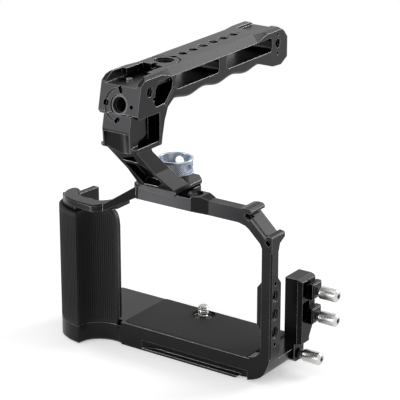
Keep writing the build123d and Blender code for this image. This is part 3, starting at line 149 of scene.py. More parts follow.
class Graph:
    """Builder of one shader or geometry node tree."""

    def __init__(self, tree: bpy.types.NodeTree) -> None:
        """Build in a tree."""
        self.tree = tree

    def node(self, kind: str, settings: dict | None = None, inputs: dict | None = None) -> bpy.types.Node:
        """Add a node.

        Args:
            kind: Blender's type name of the node.
            settings: Properties of the node.
            inputs: Value or Field of each input, by name or index.

        Returns:
            The node.
        """
        made = self.tree.nodes.new(kind)
        for name, value in (settings or {}).items():
            setattr(made, name, value)
        self.feed(made, inputs or {})
        return made

    def feed(self, node: bpy.types.Node, inputs: dict) -> None:
        """Give inputs of a node their value or Field.

        Args:
            node: Node of this tree.
            inputs: Value or Field of each input, by name or index.
        """
        for name, value in inputs.items():
            if isinstance(value, Field):
                self.tree.links.new(value.socket, node.inputs[name])
            else:
                node.inputs[name].default_value = value

    def out(self, kind: str, output: str | int, settings: dict | None = None,
            inputs: dict | None = None) -> Field:
        """Add a node and wrap one of its outputs."""
        return Field(self, self.node(kind, settings, inputs).outputs[output])

    def math(self, operation: str, *values: "Field | float") -> Field:
        """Math node on up to three values."""
        return self.out("ShaderNodeMath", 0, {"operation": operation}, dict(enumerate(values)))

    def vector(self, operation: str, *values: "Field | Sequence[float]", output: str = "Vector") -> Field:
        """Vector Math node on up to three vectors."""
        return self.out("ShaderNodeVectorMath", output, {"operation": operation}, dict(enumerate(values)))

    def mix(self, factor: Field, low: "Field | Colour", high: "Field | Colour") -> Field:
        """Colour between low and high."""
        colours = [(*end, 1.0) if isinstance(end, tuple) else end for end in (low, high)]
        return self.out("ShaderNodeMix", 2, {"data_type": "RGBA", "clamp_factor": True},
                        {0: factor, 6: colours[0], 7: colours[1]})

    def noise(self, place: Field, scale: float, detail: float = 2.0, roughness: float = 0.5) -> Field:
        """Noise between 0 and 1."""
        return self.out("ShaderNodeTexNoise", 0, {"normalize": True},
                        {"Vector": place, "Scale": scale, "Detail": detail, "Roughness": roughness})

    def bump(self, height: Field, depth: float, strength: float, **inputs: Field) -> Field:
        """Normal of a surface with a relief whose depth is in millimetres."""
        return self.out("ShaderNodeBump", "Normal", None,
                        {"Strength": strength, "Distance": depth * MM, "Height": height, **inputs})

    def attribute(self, name: str, kind: str = "FLOAT") -> Field:
        """Named attribute of the geometry."""
        return self.out("GeometryNodeInputNamedAttribute", 0, {"data_type": kind}, {"Name": name})


# ----------------------------------------------------------------------- finishes
def blank_material(name: str) -> tuple[bpy.types.Material, Graph]:
    """Start a material that has no nodes.

    Args:
        name: Name of the material.

    Returns:
        The material and its graph.
    """
    material = bpy.data.materials.new(name)
    material.use_nodes = True
    material.node_tree.nodes.clear()
    return material, Graph(material.node_tree)


def scaled(colour: Colour, factor: float) -> Colour:
    """Colour times a factor, up to 1."""
    return tuple(min(1.0, factor * part) for part in colour)


def principled(name: str) -> tuple[bpy.types.Material, Graph, bpy.types.Node]:
    """Start a material.

    Args:
        name: Name of the material.

    Returns:
        The material, its graph and its Principled node.
    """
    material, graph = blank_material(name)
    shader = graph.node("ShaderNodeBsdfPrincipled")
    graph.node("ShaderNodeOutputMaterial", inputs={"Surface": Field(graph, shader.outputs[0])})
    return material, graph, shader


def soft_edges(graph: Graph, radius: float) -> tuple[Field, Field]:
    """Round the edges of a surface in its shading.

    Args:
        graph: Tree of the material.
        radius: Radius of the rounding in millimetres.

    Returns:
        The rounded normal, and a mask that is 1 on the edges; the finishes use the mask to paint a highlight
        along the edges.
    """
    rounded = graph.out("ShaderNodeBevel", "Normal", {"samples": 6}, {"Radius": radius * MM})
    flat = graph.out("ShaderNodeNewGeometry", "Normal")
    turned = 1.0 - graph.vector("DOT_PRODUCT", rounded, flat, output="Value")
    return rounded, graph.math("MINIMUM", turned * EDGE_GAIN, 1.0)


@dataclass(frozen=True)
class Anodised:
    """Bead-blasted aluminium with satin anodising, and a painted highlight along its edges."""

    name: str
    colour: Colour
    edge_highlight_colour: Colour
    roughness: float = 0.33
    edge_radius: float = 0.32
    blast_size: float = 0.22

    def material(self) -> bpy.types.Material:
        """Build the material.

        Returns:
            The material.
        """
        made, graph, shader = principled(self.name)
        place = graph.out("ShaderNodeTexCoord", "Object")
        cloud = graph.noise(place, 60.0, 4.0, 0.6)
        blast = graph.noise(place, 1.0 / (self.blast_size * MM), 2.0)
        normal, edge = soft_edges(graph, self.edge_radius)
        body = graph.mix(cloud * 0.7 + blast * 0.3, scaled(self.colour, 0.82), scaled(self.colour, 1.18))
        # Painted highlight: the edge mask, varied by the cloud noise, mixes the edge colour into the base
        # colour.
        painted_edge_highlight = edge * (0.45 + cloud * 0.5)
        graph.feed(shader, {
            "Base Color": graph.mix(painted_edge_highlight, body, self.edge_highlight_colour), "Metallic": 1.0,
            "Roughness": self.roughness - 0.06 + cloud * 0.12,
            "Normal": graph.bump(blast, 0.02, 0.35, Normal=normal)})
        return made


@dataclass(frozen=True)
class Rubber:
    """Soft black rubber with a fine moulded grain."""

    name: str
    colour: Colour
    roughness: float = 0.55
    grain_size: float = 0.35
    specular: float = 0.18

    def material(self) -> bpy.types.Material:
        """Build the material.

        Returns:
            The material.
        """
        made, graph, shader = principled(self.name)
        place = graph.out("ShaderNodeTexCoord", "Object")
        cloud = graph.noise(place, 40.0, 3.0, 0.6)
        grain = graph.noise(place, 1.0 / (self.grain_size * MM), 3.0)
        dusty = tuple(1.5 * part + 0.004 for part in self.colour)
        graph.feed(shader, {
            "Base Color": graph.mix(cloud * 0.6 + grain * 0.4, self.colour, dusty),
            "Roughness": self.roughness + cloud * 0.15, "Normal": graph.bump(grain, 0.03, 0.5),
            "Specular IOR Level": self.specular})
        return made


@dataclass(frozen=True)
class TurnedMetal:
    """Metal turned on a lathe, with fine tool marks round its axis and a painted highlight along its edges.
    """

    name: str
    colour: Colour
    axis: TurningAxis
    roughness: float = 0.28
    edge_radius: float = 0.15
    mark_depth: float = 0.004

    def material(self) -> bpy.types.Material:
        """Build the material.

        Returns:
            The material.
        """
        made, graph, shader = principled(self.name)
        place = graph.out("ShaderNodeTexCoord", "Object")
        along = graph.out("ShaderNodeMapping", 0, None, {"Vector": place, "Scale": self.axis.value})
        marks = graph.noise(along, 1.0, 3.0)
        cloud = graph.noise(place, 300.0, 3.0)
        normal, edge = soft_edges(graph, self.edge_radius)
        shade, bright = scaled(self.colour, 0.86), scaled(self.colour, 1.12)
        # Painted highlight: edge * 0.4 pushes the base colour towards the bright tone along the edges; marks
        # and cloud give a random tone.
        graph.feed(shader, {
            "Base Color": graph.mix(marks * 0.6 + cloud * 0.4 + edge * 0.4, shade, bright), "Metallic": 1.0,
            "Roughness": self.roughness + (marks - 0.5) * 0.16,
            "Normal": graph.bump(marks, self.mark_depth, 0.5, Normal=normal)})
        return made


@dataclass(frozen=True)
class Knurl:
    """Diamond knurl round an upright axis at x = 0, in millimetres."""

    centre_y: float = -14.3
    radius: float = 9.4
    foot_z: float = 101.4
    low: float = 1.7
    high: float = 7.9
    count: int = 56
    lead: float = 1.05
    depth: float = 0.32


@dataclass(frozen=True)
class KnurledMetal:
    """Silver anodising with painted shade down in the grooves of a diamond knurl, and a painted highlight
    along its edges.
    """

    name: str
    colour: Colour
    groove_shade_colour: Colour
    knurl: Knurl
    roughness: float = 0.30
    edge_radius: float = 0.12
    depths_in: float = 1.3
    overrun: float = 0.45

    def material(self) -> bpy.types.Material:
        """Build the material.

        Returns:
            The material.
        """
        made, graph, shader = principled(self.name)
        place = graph.out("ShaderNodeTexCoord", "Object")
        parts = graph.node("ShaderNodeSeparateXYZ", inputs={"Vector": place})
        x, y, z = (Field(graph, parts.outputs[axis]) / MM for axis in "XYZ")
        y, rise = y - self.knurl.centre_y, z - self.knurl.foot_z
        turn = graph.math("ARCTAN2", y, x) / (2 * math.pi) * self.knurl.count
        left = graph.math("PINGPONG", turn + rise / self.knurl.lead, 0.5)
        right = graph.math("PINGPONG", turn - rise / self.knurl.lead, 0.5)
        groove = (1.0 - 2.0 * graph.math("MINIMUM", left, right)) ** 2.0
        reach = graph.math("SQRT", x * x + y * y)
        outside = graph.math("GREATER_THAN", reach, self.knurl.radius - self.depths_in * self.knurl.depth)
        within = (graph.math("GREATER_THAN", rise, self.knurl.low)
                  * graph.math("LESS_THAN", rise, self.knurl.high + self.overrun))
        cloud = graph.noise(place, 300.0, 3.0)
        normal, edge = soft_edges(graph, self.edge_radius)
        # Painted highlight: edge * 0.5 lightens the colour along the edges; the cloud gives a random tone.
        plain = graph.mix(cloud * 0.5 + edge * 0.5, self.colour, scaled(self.colour, 1.15))
        # Painted shade: the groove mask, limited to the knurled band, mixes the groove colour into the base
        # colour.
        graph.feed(shader, {
            "Base Color": graph.mix(groove * outside * within, plain, self.groove_shade_colour), "Metallic": 1.0,
            "Roughness": self.roughness + (cloud - 0.5) * 0.1, "Normal": normal})
        return made


@dataclass(frozen=True)
class Finishes:
    """Every finish of the cage, by material slot."""

    # The second colour of each anodising is its painted edge highlight.
    frame: Anodised = Anodised("frame_anodising", (0.019, 0.019, 0.020), (0.38, 0.38, 0.38))
    handle: Anodised = Anodised("handle_anodising", (0.021, 0.021, 0.022), (0.44, 0.44, 0.44))
    clamp: Anodised = Anodised("clamp_anodising", (0.009, 0.009, 0.009), (0.44, 0.44, 0.44), roughness=0.28)
    grip: Rubber = Rubber("grip_rubber", (0.006, 0.006, 0.006))
    pad: Rubber = Rubber("pad_rubber", (0.018, 0.018, 0.018), roughness=0.62)
    steel: TurnedMetal = TurnedMetal("turned_steel", (0.46, 0.46, 0.45), TurningAxis.Z)
    thumb: TurnedMetal = TurnedMetal("thumb_screw_steel", (0.60, 0.60, 0.59), TurningAxis.X, roughness=0.26)
    black: TurnedMetal = TurnedMetal("blackened_steel", (0.045, 0.045, 0.045), TurningAxis.Z, roughness=0.34)
    magnet: TurnedMetal = TurnedMetal("magnet_nickel", (0.55, 0.55, 0.53), TurningAxis.Z, roughness=0.2)
    # The knob's second colour is painted shade for the grooves of its knurl.
    knob: KnurledMetal = KnurledMetal("knob_anodising", (0.54, 0.59, 0.67), (0.06, 0.07, 0.09), Knurl())

    def by_slot(self) -> dict[Slot, bpy.types.Material]:
        """Build the material of every slot."""
        finishes = {Slot.FRAME: self.frame, Slot.HANDLE: self.handle, Slot.CLAMP: self.clamp,
                    Slot.GRIP: self.grip, Slot.PAD: self.pad, Slot.STEEL: self.steel, Slot.THUMB: self.thumb,
                    Slot.BLACK: self.black, Slot.MAGNET: self.magnet, Slot.KNOB: self.knob}
        return {slot: finish.material() for slot, finish in finishes.items()}


# ---------------------------------------------------------------- mesh and pieces
def new_object(name: str, mesh: bpy.types.Mesh) -> bpy.types.Object:
    """Make an object at the origin that shows a mesh.

    Args:
        name: Name of the object.
        mesh: Mesh that it shows.

    Returns:
        The object, linked to the scene.
    """
    made = bpy.data.objects.new(name, mesh)
    bpy.context.scene.collection.objects.link(made)
    return made


def in_metres(places: Sequence) -> list[Place]:
    """Places in metres, from places in millimetres."""
    return [tuple(MM * part for part in place) for place in places]


def closed_mesh(name: str, vertices: Sequence, faces: Sequence) -> bpy.types.Mesh:
    """Closed mesh in metres whose faces point outwards.

    Args:
        name: Name of the mesh.
        vertices: Places in millimetres.
        faces: Vertex numbers of each face.

    Returns:
        The mesh.
    """
    mesh = bpy.data.meshes.new(name)
    mesh.from_pydata(in_metres(vertices), [], faces)
    work = bmesh.new()
    work.from_mesh(mesh)
    bmesh.ops.recalc_face_normals(work, faces=work.faces)
    work.to_mesh(mesh)
    work.free()
    return mesh


def shade_smooth(mesh: bpy.types.Mesh, sharp_degrees: float = 32.0) -> None:
    """Shade a mesh smoothly, apart from its sharp edges."""
    mesh.polygons.foreach_set("use_smooth", [True] * len(mesh.polygons))
    mesh.set_sharp_from_angle(angle=math.radians(sharp_degrees))


def rounded(points: Sequence[Point], radius: float, steps: int = 3) -> list[Point]:
    """Round the corners of an open outline.

    Args:
        points: Corners of the outline.
        radius: Length that each rounding takes from the runs beside it.
        steps: Runs in each rounding.

    Returns:
        Points of the rounded outline.
    """
    corners = [Vector(point) for point in points]
    path = [tuple(corners[0])]
    for before, corner, after in zip(corners, corners[1:], corners[2:]):
        reach = min(radius, 0.45 * (before - corner).length, 0.45 * (after - corner).length)
        start = corner + (before - corner).normalized() * reach
        end = corner + (after - corner).normalized() * reach
        for step in range(steps + 1):
            share = step / steps
            path.append(tuple(start * (1 - share) ** 2 + corner * 2 * share * (1 - share) + end * share ** 2))
    path.append(tuple(corners[-1]))
    return path


def lathe(name: str, profile: Sequence[Point], origin: Place, axis: Vector, segments: int) -> bpy.types.Mesh:
    """Turn an outline about an axis.

    Args:
        name: Name of the mesh.
        profile: (radius, distance along the axis) points, from the axis back to the axis.
        origin: Place on the axis that distances start from.
        axis: Direction of the axis.
        segments: Faces round the axis.

    Returns:
        The closed mesh.
    """
    turn = Vector((0, 0, 1)).rotation_difference(axis)
    vertices, faces, rows = [], [], []
    for radius, along in profile:
        row = []
        for step in range(segments if radius > NEAR_ZERO else 1):
            angle = 2 * math.pi * step / segments
            local = Vector((radius * math.cos(angle), radius * math.sin(angle), along))
            row.append(len(vertices))
            vertices.append(Vector(origin) + turn @ local)
        rows.append(row)
    for low, high in zip(rows, rows[1:]):
        for step in range(segments):
            after = (step + 1) % segments
            corners = [low[step % len(low)], low[after % len(low)],
                       high[after % len(high)], high[step % len(high)]]
            faces.append(list(dict.fromkeys(corners)))
    return closed_mesh(name, vertices, faces)


def set_attributes(mesh: bpy.types.Mesh, numbers: dict[str, list], vectors: dict[str, Sequence]) -> None:
    """Give each vertex of a mesh its named numbers and vectors.

    Args:
        mesh: Mesh to mark.
        numbers: Number at each vertex, by the attribute's name.
        vectors: Vector at each vertex, by the attribute's name.
    """
    for label, values in numbers.items():
        mesh.attributes.new(label, "FLOAT", "POINT").data.foreach_set("value", values)
    for label, values in vectors.items():
        mesh.attributes.new(label, "FLOAT_VECTOR", "POINT").data.foreach_set(
            "vector", [part for vector in values for part in vector])


def tube_faces(rings: int, count: int, capped: bool) -> list[tuple[int, ...]]:
    """Faces of a tube made of equal rings of vertices.

    Args:
        rings: Number of rings.
        count: Vertices in each ring.
        capped: Whether flat caps close its ends; otherwise its last ring meets its first.

    Returns:
        Vertex numbers of each face.
    """
    faces = []
    for ring in range(rings - 1 if capped else rings):
        first, second = ring * count, (ring + 1) % rings * count
        for step in range(count):
            after = (step + 1) % count
            faces.append((first + step, first + after, second + after, second + step))
    if capped:
        faces += [tuple(range(count)), tuple(range((rings - 1) * count, rings * count))]
    return faces


def quarter_round(radius: float, steps: int) -> list[Point]:
    """Points of a quarter circle, as distances from the corner that it rounds."""
    angles = [math.pi / 2 * step / steps for step in range(steps + 1)]
    return [(radius * (1 - math.sin(angle)), radius * (1 - math.cos(angle))) for angle in angles]


def applied(piece: bpy.types.Object) -> bpy.types.Object:
    """Turn the modifiers of a piece into its mesh.

    Args:
        piece: Object with modifiers.

    Returns:
        The same object, with a plain mesh and no modifier.
    """
    graph = bpy.context.evaluated_depsgraph_get()
    made = bpy.data.meshes.new_from_object(piece.evaluated_get(graph), depsgraph=graph)
    made.name = piece.data.name
    piece.modifiers.clear()
    piece.data = made
    return piece


def drill(piece: bpy.types.Object, radius: float, span: Point, origin: Place, axis: Vector,
          sides: int) -> None:
    """Cut a straight hole into a piece.

    Args:
        piece: Object to cut.
        radius: Radius of the hole, to its corners.
        span: Where the hole starts and ends along the axis.
        origin: Place on the axis that the span is measured from.
        axis: Direction of the axis.
        sides: Faces round the hole.
    """
    low, high = span
    profile = [(0.0, low), (radius, low), (radius, high), (0.0, high)]
    cutter = new_object("cutter", lathe("cutter", profile, origin, axis, sides))
    cut = piece.modifiers.new("cut", "BOOLEAN")
    cut.operation, cut.solver, cut.object = "DIFFERENCE", "EXACT", cutter
    applied(piece)
    bpy.data.objects.remove(cutter)


def run_tree(piece: bpy.types.Object, tree: bpy.types.NodeTree, sizes: dict[str, object]) -> bpy.types.Object:
    """Run a geometry tree on a piece and keep its result as a plain mesh.

    Args:
        piece: Object whose mesh the tree starts from.
        tree: Geometry node tree.
        sizes: Value of each named input.

    Returns:
        The piece.
    """
    modifier = piece.modifiers.new(tree.name, "NODES")
    modifier.node_group = tree
    for item in tree.interface.items_tree:
        if item.item_type == "SOCKET" and item.in_out == "INPUT" and item.name in sizes:
            modifier[item.identifier] = sizes[item.name]
    return applied(piece)


def dress(piece: bpy.types.Object, body: Body, material: bpy.types.Material,
          replaced: Sequence[str] = ()) -> None:
    """Give a piece its finish, its body and the CAD nodes that it stands for.

    Args:
        piece: Finished object.
        body: Body that it rides on.
        material: Finish of the slot.
        replaced: CAD nodes that it stands for.
    """
    if not piece.data.materials:
        piece.data.materials.append(material)
    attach(piece, body.value)
    if replaced:
        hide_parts(*replaced)
    LOG.info("%s: %d faces on %s", piece.name, len(piece.data.polygons), body.value)


# ------------------------------------------------------------------ geometry trees
def geometry_tree(name: str, numbers: Sequence[str]) -> tuple[Graph, list[Field]]:
    """Start a geometry tree.

    Args:
        name: Name of the tree.
        numbers: Name of each number that the tree takes.

    Returns:
        The graph, and the Fields of its geometry, its finish and its numbers.
    """
    tree = bpy.data.node_groups.new(name, "GeometryNodeTree")
    kinds = {"Geometry": "NodeSocketGeometry", **dict.fromkeys(numbers, "NodeSocketFloat"),
             "Finish": "NodeSocketMaterial"}
    for label, kind in kinds.items():
        tree.interface.new_socket(label, in_out="INPUT", socket_type=kind)
    tree.interface.new_socket("Geometry", in_out="OUTPUT", socket_type="NodeSocketGeometry")
    graph = Graph(tree)
    given = graph.node("NodeGroupInput").outputs
    return graph, [Field(graph, given[label]) for label in ("Geometry", "Finish", *numbers)]


def end_tree(graph: Graph, geometry: Field, finish: Field) -> bpy.types.NodeTree:
    """Close a geometry tree with Realize Instances and Set Material.

    Args:
        graph: Graph of the tree.
        geometry: Finished geometry.
        finish: Material that it takes.

    Returns:
        The tree.
    """
    real = graph.out("GeometryNodeRealizeInstances", 0, None, {"Geometry": geometry})
    dressed = graph.out("GeometryNodeSetMaterial", 0, None, {"Geometry": real, "Material": finish})
    graph.node("NodeGroupOutput", inputs={0: dressed})
    return graph.tree


def press_in(graph: Graph, geometry: Field, reach: Field, finish: Field) -> bpy.types.NodeTree:
    """Move a wall along its "inward" attribute, and close the tree.

    Args:
        graph: Graph of the tree.
        geometry: Wall to move.
        reach: Distance to move it, in metres.
        finish: Material that it takes.

    Returns:
        The tree.
    """
    offset = graph.out("ShaderNodeVectorMath", "Vector", {"operation": "SCALE"},
                       {0: graph.attribute("inward", "FLOAT_VECTOR"), "Scale": reach})
    moved = graph.out("GeometryNodeSetPosition", 0, None, {"Geometry": geometry, "Offset": offset})
    return end_tree(graph, moved, finish)


def rib_tree() -> bpy.types.NodeTree:
    """Press upright grooves into a wall that carries its length as an attribute.

    Returns:
        The tree.
    """
    graph, (geometry, finish, pitch, depth) = geometry_tree("ribs", ["Pitch", "Depth"])
    wave = 0.5 + 0.5 * graph.math("COSINE", graph.attribute("along") / pitch * (2 * math.pi))
    return press_in(graph, geometry, wave ** RIB_SHARPNESS * graph.attribute("ribbed") * depth, finish)


def knurl_tree() -> bpy.types.NodeTree:
    """Press two families of crossing helical grooves into a turned wall.

    Returns:
        The tree.
    """
    graph, (geometry, finish, count, lead, depth) = geometry_tree("diamond_knurl", ["Count", "Lead", "Depth"])
    turn, rise = graph.attribute("turn"), graph.attribute("rise")
    left = graph.math("PINGPONG", turn * count + rise / lead, 0.5)
    right = graph.math("PINGPONG", turn * count - rise / lead, 0.5)
    groove = 1.0 - 2.0 * graph.math("MINIMUM", left, right)
    return press_in(graph, geometry, groove * graph.attribute("pressed") * depth, finish)


def thread_tree() -> bpy.types.NodeTree:
    """Wind a screw thread up from each point, along the point's axis.

    Returns:
        The tree.
    """
    graph, (points, finish, pitch, radius, ridge, length) = geometry_tree(
        "screw_thread", ["Pitch", "Radius", "Ridge", "Length"])
    helix = graph.out("GeometryNodeCurveSpiral", 0, None,
                      {"Resolution": THREAD_STEPS, "Rotations": length / pitch, "Start Radius": radius,
                       "End Radius": radius, "Height": length})
    section = graph.out("GeometryNodeCurvePrimitiveCircle", 0, {"mode": "RADIUS"},
                        {"Resolution": THREAD_SIDES, "Radius": ridge})
    thread = graph.out("GeometryNodeCurveToMesh", 0, None,
                       {"Curve": helix, "Profile Curve": section, "Fill Caps": True})
    turn = graph.out("FunctionNodeAlignRotationToVector", 0, {"axis": "Z"},
                     {"Vector": graph.attribute("axis", "FLOAT_VECTOR")})
    placed = graph.out("GeometryNodeInstanceOnPoints", 0, None,
                       {"Points": points, "Instance": thread, "Rotation": turn})
    return end_tree(graph, placed, finish)


# ------------------------------------------------------------------------ grip side
def lengths_along(path: np.ndarray) -> np.ndarray:
    """Distance of each point from the start of a path."""
    return np.concatenate([[0.0], np.cumsum(np.linalg.norm(np.diff(path, axis=0), axis=1))])


def clamped_spline(points: Sequence[Point], samples: int) -> np.ndarray:
    """Smooth curve through points, with ends that follow the first and last four.

    Args:
        points: Points of the curve.
        samples: Points wanted along it.

    Returns:
        Array of samples x 2.
    """
    given = np.array(points, float)
    at = lengths_along(given)
    count = len(given)

    def end_slope(order: Sequence[int]) -> np.ndarray:
        """Slope at the first of four points, of the cubic through them.

        Args:
            order: Numbers of the four points, from the end inwards.

        Returns:
            The slope along each axis.
        """
        t = at[list(order)]
        slope = np.zeros(2)
        for index in range(4):
            others = [j for j in range(4) if j != index]
            top = sum(np.prod([t[0] - t[j] for j in others if j != dropped]) for dropped in others)
            slope += given[order[index]] * top / np.prod([t[index] - t[j] for j in others])
        return slope

    gap = np.diff(at)
    matrix, right = np.zeros((count, count)), np.zeros((count, 2))
    matrix[0, 0] = matrix[-1, -1] = 1.0
    right[0], right[-1] = end_slope(range(4)), end_slope([count - 1 - step for step in range(4)])
    for i in range(1, count - 1):
        matrix[i, i - 1], matrix[i, i], matrix[i, i + 1] = gap[i], 2 * (gap[i - 1] + gap[i]), gap[i - 1]
        right[i] = 3 * (gap[i] * (given[i] - given[i - 1]) / gap[i - 1]
                        + gap[i - 1] * (given[i + 1] - given[i]) / gap[i])
    slopes = np.linalg.solve(matrix, right)
    wanted = np.linspace(0, at[-1], samples)
    span = np.clip(np.searchsorted(at, wanted, side="right") - 1, 0, count - 2)
    h = gap[span][:, None]
    t = ((wanted - at[span]) / gap[span])[:, None]
    return ((2 * t ** 3 - 3 * t ** 2 + 1) * given[span] + (t ** 3 - 2 * t ** 2 + t) * h * slopes[span]
            + (-2 * t ** 3 + 3 * t ** 2) * given[span + 1] + (t ** 3 - t ** 2) * h * slopes[span + 1])


def spaced(path: np.ndarray, count: int) -> np.ndarray:
    """Space points evenly along a path.

    Args:
        path: Points of the path.
        count: Points wanted along it.

    Returns:
        Array of count x 2.
    """
    run = lengths_along(path)
    wanted = np.linspace(0, run[-1], count)
    return np.stack([np.interp(wanted, run, path[:, axis]) for axis in (0, 1)], axis=1)


@dataclass
class GripCover:
    """Ribbed rubber cover that wraps the palm and finger sides of the grip."""

    palm: Sequence[Point] = ((-71.2, 14.0), (-71.5, -10.0), (-69.2, -24.2), (-62.4, -30.2), (-52.7, -33.0),
                             (-44.0, -34.0))
    finger: Sequence[Point] = ((-52.0, -38.0), (-50.7, -32.0), (-48.9, -25.6), (-45.4, -22.2), (-33.0, -20.0))
    back_y: float = 6.0
    end_x: float = -35.2
    low_z: float = 10.5
    high_z: float = 75.2
    thickness: float = 2.0
    rim_round: float = 0.9
    foot_round: float = 0.35
    ridge_round: float = 1.5
    inner_ridge_round: float = 0.5
    inner_round: float = 0.3
    inner_soft: float = 0.08
    shoulder: Sequence[Point] = ((-38.6, 0.0), (-36.9, 1.6), (-35.8, 4.2), (-35.2, 8.5))
    rib_pitch: float = 1.15
    rib_depth: float = 0.34
    rib_margin: float = 1.6
    rib_fade: float = 0.5
    rib_rows: int = 6
    plain_end: float = 1.2
    sharp_degrees: float = 50.0
    samples: int = 900
    stations: int = 560
    nose_stations: int = 12
    palm_share: float = 0.62

    def outline(self, inset: float) -> np.ndarray:
        """Path round the grip from its back to its right end.

        Args:
            inset: Distance inside the cover's outer face.

        Returns:
            Array of stations x 2.
        """
        sides = []
        for points in (self.palm, self.finger):
            path = clamped_spline(points, self.samples)
            heading = np.gradient(path, axis=0)
            heading /= np.linalg.norm(heading, axis=1)[:, None]
            sides.append(path + np.stack([-heading[:, 1], heading[:, 0]], axis=1) * inset)
        palm, finger = sides
        palm = palm[palm[:, 1] <= self.back_y]
        finger = finger[finger[:, 0] <= self.end_x]
        gaps = np.linalg.norm(palm[:, None, :] - finger[None, :, :], axis=2)
        meet_palm, meet_finger = np.unravel_index(np.argmin(gaps), gaps.shape)
        palm, finger = palm[:meet_palm + 1], finger[meet_finger:]
        corner = (palm[-1] + finger[0]) / 2
        reach = self.ridge_round if inset == 0.0 else self.inner_ridge_round
        palm = palm[np.linalg.norm(palm - corner, axis=1) > reach]
        finger = finger[np.linalg.norm(finger - corner, axis=1) > reach]
        share = np.linspace(0, 1, self.nose_stations)[:, None]
        nose = palm[-1] * (1 - share) ** 2 + corner * 2 * share * (1 - share) + finger[0] * share ** 2
        palm_stations = int(self.stations * self.palm_share)
        finger_stations = self.stations - palm_stations - self.nose_stations
        return np.concatenate([spaced(palm, palm_stations), spaced(nose, self.nose_stations),
                               spaced(finger, finger_stations)])

    def section(self, top: float) -> list[tuple[float, float, bool]]:
        """Closed section of the wall.

        Args:
            top: Height of the cover at this place.

        Returns:
            (distance in from the outer face, height, takes ribs) of each point.
        """
        inner, turn, soft = self.thickness, self.inner_round, self.inner_soft
        low, high = self.low_z + self.rib_margin, top - self.rib_margin - self.rim_round
        ribs = [low + self.rib_fade + (high - low - 2 * self.rib_fade) * row / self.rib_rows
                for row in range(self.rib_rows + 1)]
        points = [(depth, self.low_z + rise, False) for depth, rise in quarter_round(self.foot_round, 3)]
        points += [(0.0, low, False), *((0.0, z, True) for z in ribs), (0.0, high, False)]
        points += [(depth, top - drop, False) for drop, depth in quarter_round(self.rim_round, 5)]
        points += [(inner - turn, top, False), (inner - soft, top - soft, False), (inner, top - turn, False)]
        points += [(inner, self.low_z + turn, False), (inner - turn, self.low_z, False)]
        return points

    def build(self, finish: bpy.types.Material) -> bpy.types.Object:
        """Build the cover with its ribs.

        Args:
            finish: Rubber that it is made of.

        Returns:
            The cover.
        """
        outer, inner = self.outline(0.0), self.outline(self.thickness)
        toward = (inner - outer) / self.thickness
        run = lengths_along(outer)
        xs, drops = zip(*self.shoulder)
        vertices, along, ribbed, inward = [], [], [], []
        for station in range(self.stations):
            on_finger = station > self.stations * self.palm_share
            top = self.high_z - (float(np.interp(outer[station][0], xs, drops)) if on_finger else 0.0)
            edge = min(run[station], run[-1] - run[station])
            for depth, z, takes in self.section(top):
                x, y = outer[station] + toward[station] * depth
                vertices.append((x, y, z))
                along.append(run[station])
                ribbed.append(float(takes and edge > self.plain_end))
                inward.append((*toward[station], 0.0))
        faces = tube_faces(self.stations, len(self.section(self.high_z)), capped=True)
        mesh = closed_mesh("grip_cover_ribbed", vertices, faces)
        set_attributes(mesh, {"along": along, "ribbed": ribbed}, {"inward": inward})
        piece = new_object("grip_cover_ribbed", mesh)
        run_tree(piece, rib_tree(), {"Pitch": self.rib_pitch, "Depth": self.rib_depth * MM, "Finish": finish})
        shade_smooth(piece.data, self.sharp_degrees)
        return piece


@dataclass
class SoftPad:
    """Flat rubber pad with rounded corners and a softened top edge."""

    name: str
    node: str
    corner: float
    edge: float = 0.35
    corner_steps: int = 8
    edge_steps: int = 4

    def build(self) -> bpy.types.Object:
        """Build the pad in the box of the CAD node that it stands for.

        Returns:
            The pad.
        """
        low, high = (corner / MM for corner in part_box(self.node))
        size = high - low
        thin = min(range(3), key=lambda axis: size[axis])
        across = [axis for axis in range(3) if axis != thin]
        ring = []
        for quarter, sides in enumerate(((1, 1), (0, 1), (0, 0), (1, 0))):
            centre = [(high if side else low)[axis] + (-self.corner if side else self.corner)
                      for axis, side in zip(across, sides)]
            for step in range(self.corner_steps + 1):
                angle = math.pi / 2 * (quarter + step / self.corner_steps)
                ring.append((centre, math.cos(angle), math.sin(angle)))
        face_up = thin == 2
        rim = quarter_round(self.edge, self.edge_steps)
        levels = [(0.0, 0.0), *((inset, size[thin] - drop) for drop, inset in rim)]
        vertices = []
        for inset, rise in levels:
            for centre, cosine, sine in ring:
                place = [0.0, 0.0, 0.0]
                place[across[0]] = centre[0] + (self.corner - inset) * cosine
                place[across[1]] = centre[1] + (self.corner - inset) * sine
                place[thin] = low[thin] + rise if face_up else high[thin] - rise
                vertices.append(place)
        faces = tube_faces(len(levels), len(ring), capped=True)
        piece = new_object(self.name, closed_mesh(self.name, vertices, faces))
        shade_smooth(piece.data)
        return piece


@dataclass
class GripSide:
    """Rubber cover of the grip and the soft pads of the bay."""

    cover: GripCover
    base_pad: SoftPad
    side_pad: SoftPad
    hole_radius: float = 6.35
    hole_span: Point = (-5.0, 5.0)
    hole_sides: int = 64
    camera_screw_y: float = 10.8

    def build(self, materials: dict[Slot, bpy.types.Material]) -> None:
        """Build and dress the rubber pieces.

        Args:
            materials: Finish of each slot.
        """
        rubber, soft = materials[Slot.GRIP], materials[Slot.PAD]
        dress(self.cover.build(rubber), Body.CAGE, rubber, ["grip_cover"])
        pad = self.base_pad.build()
        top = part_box("base_pad")[1].z / MM
        drill(pad, self.hole_radius, self.hole_span, (0, self.camera_screw_y, top), Vector((0, 0, 1)),
              self.hole_sides)
        shade_smooth(pad.data)
        dress(pad, Body.CAGE, soft, ["base_pad"])
        dress(self.side_pad.build(), Body.CAGE, soft, ["side_pad"])


